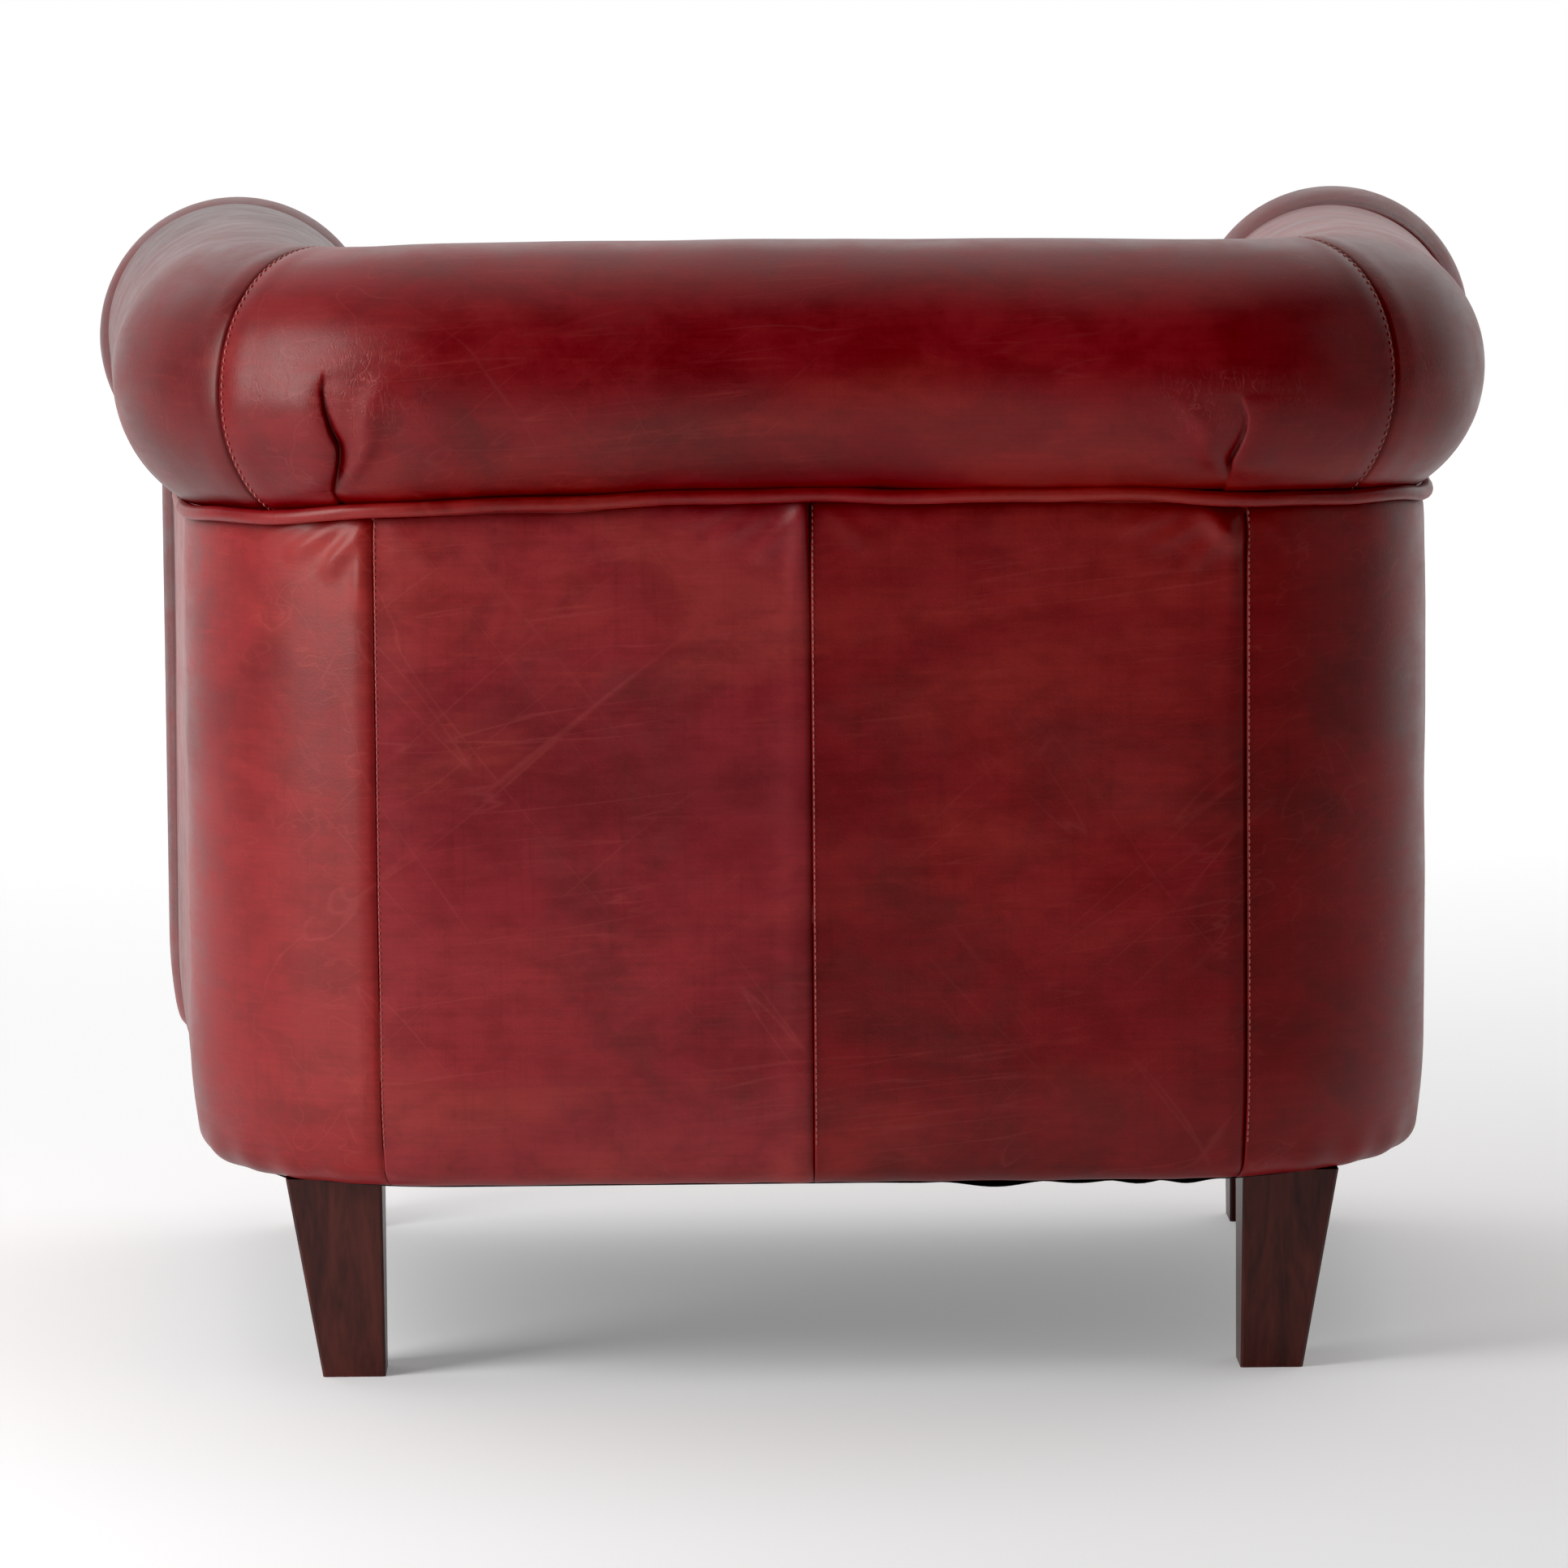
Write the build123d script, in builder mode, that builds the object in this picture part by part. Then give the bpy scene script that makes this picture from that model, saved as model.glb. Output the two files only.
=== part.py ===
from build123d import *
import os
from math import acos, asin, atan, atan2, cos, degrees, radians, sin, sqrt

# Leather tub armchair: one rolled wall runs round the back and both arms on a timber and plywood
# frame, with a loose seat cushion. Units are millimetres. The origin is on the floor under the
# middle of the chair, +Z is up, the sitter faces -Y and the left arm is at +X.
os.makedirs("parts", exist_ok=True)

# Body in plan, measured on the outside leather
body_back_width = 735.0  # between the two side lines where they cross the back line
body_front_width = 840.0  # between the two side lines at the arm fronts
body_depth = 670.0  # from the outside back to the plane where the arms end
corner_radius = 165.0  # rounded rear corners of the outside leather
facing_depth = 46.0  # padded arm fronts, ahead of that plane

# Heights
leg_height = 125.0  # floor to the underside of the body
roll_top = 690.0  # floor to the top of the back and arms
rail_top = 255.0  # top of the seat rails, where the springs are clipped

# Roll and padded inside wall, in section
roll_radius = 78.0
roll_inset = 34.0  # roll centre, inside the outside leather
belly_reach = 138.0  # thickest place of the wall, from the outside leather
belly_height = 380.0  # height of that place
belly_radius = 420.0
waist_radius = 60.0  # hollow between roll and inside wall
piping_radius = 4.5

# Outside panels: a straight wall that curves under the body to a stapled hem
skirt_radius = 320.0
skirt_turn = 18.0  # degrees turned before the hem edge
hem_radius = 14.0
hem_end = 48.0  # hem reaches this far in under the frame
back_seam = 259.0  # seam of back panel and side panel, from the middle of the back

# Sheet and layer thicknesses, and the clearance between layers
leather = 2.0
wadding = 5.0
lining = 3.0
webbing = 2.0
cloth = 1.0
dust_cloth = 0.8
fit = 0.3

# Timber
post_depth = 27.0
post_width = 45.0
rail_thickness = 25.0
rail_height = 70.0
plywood = 18.0
base_out = 30.0  # outer edge of the base ring, inside the outside leather
base_width = 60.0
ring_width = 53.0  # plywood ring in the roll
ring_rise = 12.0  # its underside, above the foot of the roll
block_leg = 60.0  # legs of the triangular front corner blocks
back_post_place = 110.0  # from the middle of the back
side_post_place = 700.0  # along the wall from the middle of the back
post_heel = 60.0  # height of the slanting cut at the foot of a post, clear of the hem

# Legs: square, with the two inner faces upright and the two outer faces tapered
leg_top = 58.0
leg_foot = 38.0
leg_edge = 1.5  # chamfer of the upright edges
rear_leg_setin = 107.5  # inner side face, inside the corner of side line and back line
rear_leg_setback = 56.0  # back face at the top, inside the outside back
front_leg_setin = 126.0  # inner side face, inside the side line at the arm front plane
front_leg_setback = 8.0  # front face at the top, behind the arm front plane
bolt_radius = 4.0
bolt_in_leg = 45.0
bolt_above = 8.0  # stands out of the base ring
bolt_clear = 0.1
tee_radius = 5.5
tee_length = 10.0
tee_flange_radius = 11.0
tee_flange = 1.5

# Springs and webbing
spring_wire = 4.0
spring_count = 5
spring_pitch = 92.0
spring_swing = 44.0  # width of the zigzag
spring_step = 26.0  # from one cross run to the next
clip_width = 20.0
clip_length = 19.0
tie_wire = 3.0
tie_place = 130.0  # cross ties, ahead of and behind the middle of the springs
strap_width = 60.0
back_strap_pitch = 105.0
arm_strap_pitch = 120.0

# Arm fronts and front border
facing_proud = 8.0  # scroll of the arm front, outside the roll
facing_side_proud = 3.0
facing_belly_proud = 1.5
facing_edge = 12.0  # chamfer of the padded front edge
facing_nook = 10.0  # hollow corner under the scroll
facing_toe = 15.0  # inner bottom corner
facing_board = 15.0
board_inset = 12.0
facing_foot = 300.0  # below this the inner side of the arm front is upright
border_pad = 19.4
border_edge = 14.0
border_return = 16.0  # border leather runs back over the rail
border_hem = 20.0  # and this far in under the base ring

# Deck under the loose cushion
deck_side = 128.5  # edge of the deck, from the outside leather
deck_pad_thickness = 25.0

# Seat cushion
cushion_side = 150.0  # side of the cushion, from the outside leather
cushion_front = 34.0  # ahead of the arm front plane
cushion_height = 132.0  # to the upper welt
cushion_crown = 24.0  # crown above the upper welt
cushion_corner = 34.0
cushion_belly = 5.0  # boxing swells past the welts
cushion_lift = 0.3  # stands on the deck with this clearance
cushion_heel = 10.0  # height of the lower welt
welt_radius = 4.0
welt_sides = 8
zip_length = 380.0
zip_width = 26.0
zip_thickness = 1.6
dust_inset = 30.0  # edge of the black cloth under the chair, inside the outside leather

# Places that follow from the sizes above
roll_out = roll_radius - roll_inset
back_y = (roll_out + body_depth + facing_depth) / 2 - roll_out
front_y = back_y - body_depth
flare = (body_front_width - body_back_width) / 2 / body_depth
flare_angle = atan(flare)
roll_z = roll_top - roll_radius
frame_out = leather + fit + wadding + fit + lining + fit
frame_in = frame_out + post_depth
foam_out = frame_in + webbing + fit
hem_z = leg_height + dust_cloth
base_z = hem_z + leather
base_top = base_z + plywood
tack = frame_out - fit
roll_foot = roll_z - sqrt(roll_radius**2 - (roll_inset - tack) ** 2)
ring_z = roll_foot - fit + ring_rise
ring_in = frame_out + ring_width
hessian_z = rail_top + spring_wire + cloth + fit
wall_foot = hessian_z + cloth + fit
deck_top = wall_foot + deck_pad_thickness
border_top = deck_top + cloth
cushion_z = deck_top + cloth + cushion_lift
skirt_drop = skirt_radius * sin(radians(skirt_turn)) + hem_radius * (1 - sin(radians(skirt_turn)))
rail_in = frame_in + rail_thickness


def side_x(y):
    """Half the width over the outside leather at depth y."""
    return body_back_width / 2 + (back_y - y) * flare


def inside_x(depth, y):
    """Half the width at y, a given depth inside the outside leather."""
    return side_x(y) - depth / cos(flare_angle)


# Plan line of the outside leather, from the left arm front round the back to the right arm front.
# It runs on past the arm fronts so that the wall can be cut square there.
line_tail = 60.0
tail_y = front_y - line_tail
with BuildLine() as wall_line:
    FilletPolyline(
        (side_x(tail_y), tail_y),
        (side_x(back_y), back_y),
        (-side_x(back_y), back_y),
        (-side_x(tail_y), tail_y),
        radius=corner_radius,
    )
wall = wall_line.wire()
half_wall = wall.length / 2
corner_arcs = wall.edges().filter_by(GeomType.CIRCLE).sort_by(Axis.X)
corner_arc_length = corner_arcs[0].length
back_flat = wall.edges().filter_by(Axis.X)[0].length / 2
corner_seam = back_flat + corner_arc_length / 2  # seam of back and arm covers, in mid corner
arm_start = back_flat + corner_arc_length
front_cut = Plane.XZ.offset(-front_y)
rail_cut = Plane.XZ.offset(-(front_y + rail_thickness + fit))


def wall_run(start, end):
    """Stretch of the wall line between two distances from the middle of the back, left negative."""
    return wall.trim(0.5 + start / half_wall / 2, 0.5 + end / half_wall / 2)


def section(run):
    """Plane across a run at its start: X is the depth inside the leather, Y is the height."""
    along = run % 0
    return Plane(origin=run @ 0, x_dir=along.rotate(Axis.Z, 90), z_dir=along)


def box_profile(depth_from, depth_to, low, high):
    """Rectangle between two depths and two heights, in the current section sketch."""
    with Locations(((depth_from + depth_to) / 2, (low + high) / 2)):
        Rectangle(depth_to - depth_from, high - low)


def stuffed_edge(roll, belly, waist, start_depth, foot):
    """Edge of the padded wall in section: up over the roll, into the waist and down the belly.

    It starts under the outside of the roll at start_depth and ends at the height foot.
    The two end points are returned.
    """
    belly_middle = Vector(belly_reach - belly_radius, belly_height)
    roll_middle = Vector(roll_inset, roll_z)
    to_belly = belly_middle - roll_middle
    reach, far = roll + waist, belly + waist
    turn = acos((reach**2 + to_belly.length**2 - far**2) / (2 * reach * to_belly.length))
    waist_angle = degrees(atan2(to_belly.Y, to_belly.X) + turn)
    waist_turn = radians(waist_angle)
    waist_middle = roll_middle + Vector(cos(waist_turn), sin(waist_turn)) * reach
    from_belly = waist_middle - belly_middle
    belly_angle = degrees(atan2(from_belly.Y, from_belly.X))
    foot_angle = degrees(asin((foot - belly_height) / belly))
    tack_angle = 360 - degrees(acos((start_depth - roll_inset) / roll))
    CenterArc(roll_middle, roll, waist_angle, 90 - waist_angle)
    over = CenterArc(roll_middle, roll, 90, tack_angle - 90)
    CenterArc(waist_middle, waist, 180 + waist_angle, belly_angle - waist_angle)
    down = CenterArc(belly_middle, belly, foot_angle, belly_angle - foot_angle)
    return over @ 1, down @ 0


def wall_edge(inset, foot=wall_foot):
    """Edge of the inside back and arms, set in from the leather's face."""
    return stuffed_edge(
        roll_radius - inset, belly_radius - inset, waist_radius + inset, tack, foot
    )


def skirt_edge(inset, top, base, end=None):
    """Edge of an outside panel from top down, curving under the body.

    With an end it also turns round the hem and runs in to that depth.
    The two end points are returned.
    """
    turn_z = base + skirt_drop
    wall_side = Line((inset, top), (inset, turn_z))
    under = JernArc(wall_side @ 1, wall_side % 1, skirt_radius - inset, skirt_turn)
    if end is None:
        return wall_side @ 0, under @ 1
    hem = JernArc(under @ 1, under % 1, hem_radius - inset, 90 - skirt_turn)
    run = Line(hem @ 1, (end, (hem @ 1).Y))
    return wall_side @ 0, run @ 1


def seat_plan(depth, front, radius):
    """Seat-shaped outline a depth inside the outside leather, closed at the front, rear corners rounded."""
    rear = back_y - depth
    with BuildLine() as outline:
        FilletPolyline(
            (inside_x(depth, front), front),
            (inside_x(depth, rear), rear),
            (-inside_x(depth, rear), rear),
            (-inside_x(depth, front), front),
            radius=radius,
        )
        Line((inside_x(depth, front), front), (-inside_x(depth, front), front))
    make_face(outline.edges())


# Legs
rear_leg_x = side_x(back_y) - rear_leg_setin
rear_leg_y = back_y - rear_leg_setback
front_leg_x = side_x(front_y) - front_leg_setin
rear_bolt = (rear_leg_x + leg_top / 2, rear_leg_y - leg_top / 2)
front_leg_y = front_y + front_leg_setback
front_bolt = (front_leg_x + leg_top / 2, front_leg_y + leg_top / 2)
left_bolts = [rear_bolt, front_bolt]
all_bolts = [(side * x, y) for x, y in left_bolts for side in (1, -1)]


def tapered_leg(inner_x, inner_y, toward_y, bolt):
    """Leg whose two inner faces stand upright on the corner (inner_x, inner_y)."""
    ends = []
    for size, height in ((leg_foot, 0), (leg_top, leg_height)):
        with BuildSketch(Plane.XY.offset(height)) as end:
            with Locations((inner_x + size / 2, inner_y + toward_y * size / 2)):
                Rectangle(size, size)
        ends.append(end.sketch)
    loft(ends)
    upright = edges().filter_by(Axis.X, reverse=True).filter_by(Axis.Y, reverse=True)
    chamfer(upright, leg_edge)
    with Locations((*bolt, leg_height)):
        Hole(bolt_radius + bolt_clear, bolt_in_leg + bolt_clear)


with BuildPart() as rear_left_leg:
    tapered_leg(rear_leg_x, rear_leg_y - leg_top, 1, rear_bolt)

with BuildPart() as front_left_leg:
    tapered_leg(front_leg_x, front_leg_y + leg_top, -1, front_bolt)

with BuildPart() as rear_right_leg:
    mirror(rear_left_leg.part, about=Plane.YZ)

with BuildPart() as front_right_leg:
    mirror(front_left_leg.part, about=Plane.YZ)

# Hanger bolts stand in the legs and screw into tee nuts in the base ring
with BuildPart() as leg_bolts:
    with BuildSketch(Plane.XY.offset(leg_height - bolt_in_leg)):
        with Locations(*all_bolts):
            Circle(bolt_radius)
    extrude(amount=bolt_in_leg + (base_top - leg_height) + bolt_above)

with BuildPart() as leg_tee_nuts:
    with BuildSketch(Plane.XY.offset(base_top - tee_length)):
        with Locations(*all_bolts):
            Circle(tee_radius)
    extrude(amount=tee_length)
    with BuildSketch(Plane.XY.offset(base_top)):
        with Locations(*all_bolts):
            Circle(tee_flange_radius)
    extrude(amount=tee_flange)
    with Locations(*[(x, y, base_top + tee_flange) for x, y in all_bolts]):
        Hole(bolt_radius + bolt_clear)

# Timber and plywood frame
with BuildPart() as base_ring:
    whole_run = wall_run(-half_wall, half_wall)
    with BuildSketch(section(whole_run)):
        box_profile(base_out, base_out + base_width, base_z, base_top)
    sweep(path=whole_run)
    split(bisect_by=front_cut, keep=Keep.BOTTOM)
    with BuildSketch(Plane.XY.offset(base_z)):
        with Locations((0, front_y + base_width / 2)):
            Rectangle(2 * (inside_x(base_out + base_width / 2, front_y)), base_width)
    extrude(amount=plywood)
    with Locations(*[(x, y, base_top) for x, y in all_bolts]):
        Hole(tee_radius + bolt_clear)

with BuildPart() as top_ring:
    with BuildSketch(section(whole_run)):
        box_profile(frame_out, ring_in, ring_z, ring_z + plywood)
    sweep(path=whole_run)
    split(bisect_by=front_cut, keep=Keep.BOTTOM)


def wall_post(middle):
    """Upright post in the wall between the base ring and the top ring."""
    run = wall_run(middle - post_width / 2, middle + post_width / 2)
    with BuildSketch(section(run)) as profile:
        Polygon(
            (base_out, base_top),
            (frame_in, base_top),
            (frame_in, ring_z),
            (frame_out, ring_z),
            (frame_out, base_top + post_heel),
            align=None,
        )
    sweep(profile.sketch, path=run)


with BuildPart() as back_posts:
    for place in (-back_post_place, back_post_place):
        wall_post(place)

with BuildPart() as corner_posts:
    for place in (-corner_seam, corner_seam):
        wall_post(place)

with BuildPart() as side_posts:
    for place in (-side_post_place, side_post_place):
        wall_post(place)

front_post_place = half_wall - line_tail - post_width / 2
with BuildPart() as arm_front_posts:
    for place in (-front_post_place, front_post_place):
        wall_post(place)
    split(bisect_by=front_cut, keep=Keep.BOTTOM)


def seat_rail(start, end):
    """Seat rail on the inside of the posts."""
    run = wall_run(start, end)
    with BuildSketch(section(run)) as profile:
        box_profile(frame_in, rail_in, rail_top - rail_height, rail_top)
    sweep(profile.sketch, path=run)


with BuildPart() as back_seat_rail:
    seat_rail(-back_flat, back_flat)

with BuildPart() as left_seat_rail:
    seat_rail(-half_wall, -arm_start)
    split(bisect_by=rail_cut, keep=Keep.BOTTOM)

with BuildPart() as right_seat_rail:
    mirror(left_seat_rail.part, about=Plane.YZ)

with BuildPart() as front_seat_rail:
    front_rail_half = inside_x(frame_in, front_y + rail_thickness) - fit
    with BuildSketch(Plane.XY.offset(base_top)):
        with Locations((0, front_y + rail_thickness / 2)):
            Rectangle(2 * front_rail_half, rail_thickness)
    extrude(amount=rail_top - base_top)

with BuildPart() as rear_corner_blocks:
    seat_rail(-arm_start, -back_flat)
    seat_rail(back_flat, arm_start)

with BuildPart() as front_corner_blocks:
    block_y = front_y + rail_thickness
    with BuildSketch(Plane.XY.offset(rail_top - rail_height)):
        for side in (1, -1):
            with BuildLine():
                Polyline(
                    (side * inside_x(rail_in, block_y), block_y),
                    (side * (inside_x(rail_in, block_y) - block_leg), block_y),
                    (side * inside_x(rail_in, block_y + block_leg), block_y + block_leg),
                    close=True,
                )
            make_face()
    extrude(amount=rail_height)

# Arm front boards: scroll-shaped plywood on the ends of the arms
left_front = Plane(origin=(side_x(front_y), front_y, 0), x_dir=(-1, 0, 0), z_dir=(0, 1, 0))


def facing_outline(inset):
    """Outline of an arm front, set in from its leather: scroll, upright side and hem."""
    side = inset - facing_side_proud
    with BuildLine() as outline:
        scroll, inner = stuffed_edge(
            roll_radius + facing_proud - inset,
            belly_radius + facing_belly_proud - inset,
            waist_radius - facing_proud + inset,
            side,
            facing_foot,
        )
        _, hem = skirt_edge(side, scroll.Y, hem_z + facing_side_proud, hem_end)
        toe = Vector(inner.X, hem.Y)
        Polyline(inner, toe, hem)
    make_face(outline.edges())
    corners = vertices()
    fillet(corners.sort_by_distance(scroll)[0], facing_nook + inset)
    fillet(corners.sort_by_distance(toe)[0], facing_toe - inset)


with BuildPart() as left_arm_board:
    with BuildSketch(left_front):
        facing_outline(board_inset)
    extrude(amount=-facing_board)

with BuildPart() as right_arm_board:
    mirror(left_arm_board.part, about=Plane.YZ)

# Springs, clips, ties and webbing
spring_front = front_y + rail_thickness / 2
spring_rear = back_y - frame_in - rail_thickness / 2
spring_middle = (spring_front + spring_rear) / 2
spring_z = rail_top + cloth + spring_wire / 2
spring_x = [(n - (spring_count - 1) / 2) * spring_pitch for n in range(spring_count)]
cross_runs = int((spring_rear - spring_front - 2 * spring_step) / spring_step) // 2 * 2


def zigzag(x):
    """Sinuous seat spring: straight cross runs joined by bends, with a short tail at each end."""
    points = [(x - spring_swing / 2, spring_front)]
    first = spring_middle - (cross_runs - 1) * spring_step / 2
    for n in range(cross_runs):
        near = -1 if n % 2 == 0 else 1
        points.append((x + near * spring_swing / 2, first + n * spring_step))
        points.append((x - near * spring_swing / 2, first + n * spring_step))
    points.append((x - spring_swing / 2, spring_rear))
    return points


with BuildPart() as seat_springs:
    for x in spring_x:
        corners = [Vector(px, py, spring_z) for px, py in zigzag(x)]
        with BuildLine() as wire_line:
            Polyline(*corners)
        start_plane = Plane(origin=corners[0], x_dir=(1, 0, 0), z_dir=corners[1] - corners[0])
        with BuildSketch(start_plane):
            Rectangle(spring_wire, spring_wire)
        sweep(path=wire_line.wire(), transition=Transition.RIGHT)

with BuildPart() as spring_clips:
    with BuildSketch(Plane.XY.offset(rail_top)):
        for x in spring_x:
            with Locations((x - spring_swing / 2, spring_front), (x - spring_swing / 2, spring_rear)):
                Rectangle(clip_width, clip_length)
    extrude(amount=cloth)

with BuildPart() as spring_ties:
    for tie_y in (spring_middle - tie_place, spring_middle + tie_place):
        tie_half = inside_x(rail_in, tie_y + tie_wire) - fit
        with BuildSketch(Plane.XY.offset(rail_top + cloth - fit - tie_wire)):
            with Locations((0, tie_y)):
                Rectangle(2 * tie_half, tie_wire)
        extrude(amount=tie_wire)


def strap(middle):
    """Upright webbing strap on the inside of the posts, from seat rail to top ring."""
    run = wall_run(middle - strap_width / 2, middle + strap_width / 2)
    with BuildSketch(section(run)) as profile:
        box_profile(frame_in, frame_in + webbing, rail_top, ring_z)
    sweep(profile.sketch, path=run)


with BuildPart() as back_webbing:
    for n in (-1.5, -0.5, 0.5, 1.5):
        strap(n * back_strap_pitch)

with BuildPart() as left_arm_webbing:
    for n in (0.5, 1.5, 2.5, 3.5):
        strap(-arm_start - n * arm_strap_pitch)

with BuildPart() as right_arm_webbing:
    mirror(left_arm_webbing.part, about=Plane.YZ)

with BuildPart() as spring_cover:
    with BuildSketch(Plane.XY.offset(hessian_z)):
        seat_plan(foam_out, front_y + cloth, corner_radius - foam_out)
    extrude(amount=cloth)

# Deck under the cushion
deck_front = front_y + border_return + fit
with BuildPart() as deck_pad:
    with BuildSketch(Plane.XY.offset(wall_foot)):
        seat_plan(deck_side, deck_front, corner_radius - deck_side)
    extrude(amount=deck_pad_thickness)

with BuildPart() as deck_cloth:
    with BuildSketch(Plane.XY.offset(deck_top)):
        seat_plan(deck_side, deck_front, corner_radius - deck_side)
    extrude(amount=cloth)

# Padding and leather of the inside back and arms; they meet at a seam in mid corner
back_run = wall_run(-corner_seam, corner_seam)
left_run = wall_run(-half_wall, -corner_seam)


def wall_foam(run):
    """Foam of the inside wall and the roll, hooked over the top ring."""
    with BuildSketch(section(run)) as profile:
        with BuildLine() as outline:
            tacked, foot = wall_edge(leather + fit)
            Polyline(
                foot,
                (foam_out, wall_foot),
                (foam_out, ring_z - fit),
                (ring_in + fit, ring_z - fit),
                (ring_in + fit, ring_z + plywood + fit),
                (tack, ring_z + plywood + fit),
                tacked,
            )
        make_face(outline.edges())
    sweep(profile.sketch, path=run)


def wall_cover(run):
    """Leather of the inside wall, from under the outside of the roll down to the deck."""
    with BuildSketch(section(run)) as profile:
        with BuildLine() as outline:
            outer_tack, outer_foot = wall_edge(0)
            inner_tack, inner_foot = wall_edge(leather)
            Line(outer_tack, inner_tack)
            Line(outer_foot, inner_foot)
        make_face(outline.edges())
    sweep(profile.sketch, path=run)


with BuildPart() as back_foam:
    wall_foam(back_run)

with BuildPart() as left_arm_foam:
    wall_foam(left_run)
    split(bisect_by=front_cut, keep=Keep.BOTTOM)

with BuildPart() as right_arm_foam:
    mirror(left_arm_foam.part, about=Plane.YZ)

with BuildPart() as back_cover:
    wall_cover(back_run)

with BuildPart() as left_arm_cover:
    wall_cover(left_run)
    split(bisect_by=front_cut, keep=Keep.BOTTOM)

with BuildPart() as right_arm_cover:
    mirror(left_arm_cover.part, about=Plane.YZ)


# Outside of the wall: lining board, wadding, leather panels and the piping under the roll
def under_roll(depth):
    """Height just under the roll leather at a depth inside the outside leather."""
    return roll_z - sqrt(roll_radius**2 - (roll_inset - depth) ** 2) - fit


wadding_in = leather + fit + wadding
with BuildPart() as outer_lining:
    with BuildSketch(section(whole_run)):
        box_profile(wadding_in + fit, frame_out - fit, hem_z + skirt_drop, under_roll(frame_out - fit))
    sweep(path=whole_run)
    split(bisect_by=front_cut, keep=Keep.BOTTOM)

with BuildPart() as outer_wadding:
    with BuildSketch(section(whole_run)):
        with BuildLine():
            outer_top, outer_end = skirt_edge(leather + fit, under_roll(wadding_in), hem_z)
            inner_top, inner_end = skirt_edge(wadding_in, under_roll(wadding_in), hem_z)
            Line(outer_top, inner_top)
            Line(outer_end, inner_end)
        make_face()
    sweep(path=whole_run)
    split(bisect_by=front_cut, keep=Keep.BOTTOM)


def outside_panel(run):
    """Outside leather panel with its hem turned in under the frame."""
    with BuildSketch(section(run)) as profile:
        with BuildLine() as outline:
            outer_top, outer_end = skirt_edge(0, under_roll(leather), hem_z, hem_end)
            inner_top, inner_end = skirt_edge(leather, under_roll(leather), hem_z, hem_end)
            Line(outer_top, inner_top)
            Line(outer_end, inner_end)
        make_face(outline.edges())
    sweep(profile.sketch, path=run)


with BuildPart() as back_left_panel:
    outside_panel(wall_run(-back_seam, 0))

with BuildPart() as back_right_panel:
    mirror(back_left_panel.part, about=Plane.YZ)

with BuildPart() as left_side_panel:
    outside_panel(wall_run(-half_wall, -back_seam))
    split(bisect_by=front_cut, keep=Keep.BOTTOM)

with BuildPart() as right_side_panel:
    mirror(left_side_panel.part, about=Plane.YZ)

piping_out = piping_radius + fit
piping_z = roll_z - sqrt((roll_radius + piping_out) ** 2 - (roll_inset + piping_out) ** 2)
with BuildPart() as roll_piping:
    with BuildSketch(section(whole_run)):
        with Locations((-piping_out, piping_z)):
            RegularPolygon(piping_radius, welt_sides)
    sweep(path=whole_run)
    split(bisect_by=front_cut, keep=Keep.BOTTOM)


# Padded arm fronts
def facing_body(inset):
    """Arm front set in from its leather, with bevelled front edges."""
    with BuildSketch(left_front) as outline:
        facing_outline(inset)
    extrude(outline.sketch, amount=inset - facing_depth)
    chamfer(edges().group_by(Axis.Y)[0], facing_edge - inset)


with BuildPart() as left_facing_cover:
    facing_body(0)
    with BuildPart(mode=Mode.PRIVATE) as facing_hollow:
        facing_body(leather)
    add(facing_hollow.part, mode=Mode.SUBTRACT)

with BuildPart() as left_facing_foam:
    facing_body(leather + fit)
    with BuildSketch(left_front):
        facing_outline(board_inset - fit)
    extrude(amount=-facing_board - fit, mode=Mode.SUBTRACT)

with BuildPart() as right_facing_cover:
    mirror(left_facing_cover.part, about=Plane.YZ)

with BuildPart() as right_facing_foam:
    mirror(left_facing_foam.part, about=Plane.YZ)

# Front border between the arm fronts
border_face = front_y - fit - border_pad - fit - leather
border_half = side_x(front_y) - belly_reach - facing_belly_proud - fit


def border_edge_line(inset, hem_y):
    """Edge of the front border from under the base ring, up the front and back over the rail."""
    line = FilletPolyline(
        (hem_y, hem_z + inset),
        (border_face + inset, hem_z + inset),
        (border_face + inset, border_top - inset),
        (front_y + border_return, border_top - inset),
        radius=border_edge - inset,
    )
    return line @ 0, line @ 1


with BuildPart() as front_border_cover:
    with BuildSketch(Plane.YZ.offset(-border_half)):
        with BuildLine():
            outer_hem, outer_end = border_edge_line(0, front_y + border_hem)
            inner_hem, inner_end = border_edge_line(leather, front_y + border_hem)
            Line(outer_hem, inner_hem)
            Line(outer_end, inner_end)
        make_face()
    extrude(amount=2 * border_half)

with BuildPart() as front_border_foam:
    with BuildSketch(Plane.YZ.offset(-border_half)):
        with BuildLine():
            low, high = border_edge_line(leather + fit, front_y - fit)
            Polyline(high, (high.X, wall_foot), (low.X, wall_foot), low)
        make_face()
    extrude(amount=2 * border_half)

# Black cloth under the chair
with BuildPart() as dust_cover:
    with BuildSketch(Plane.XY.offset(leg_height)):
        seat_plan(dust_inset, front_y, corner_radius - dust_inset)
        with Locations(*all_bolts):
            Circle(tee_radius, mode=Mode.SUBTRACT)
    extrude(amount=dust_cloth)


# Loose seat cushion: foam in a boxed leather cover with a welt round the top and the bottom
def cushion_outline(inset):
    """Plan line of the cushion at the welts, set in."""
    depth = cushion_side + inset
    front = front_y - cushion_front + inset
    rear = back_y - depth
    return FilletPolyline(
        (inside_x(depth, front), front),
        (inside_x(depth, rear), rear),
        (-inside_x(depth, rear), rear),
        (-inside_x(depth, front), front),
        radius=cushion_corner,
        close=True,
    )


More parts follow.
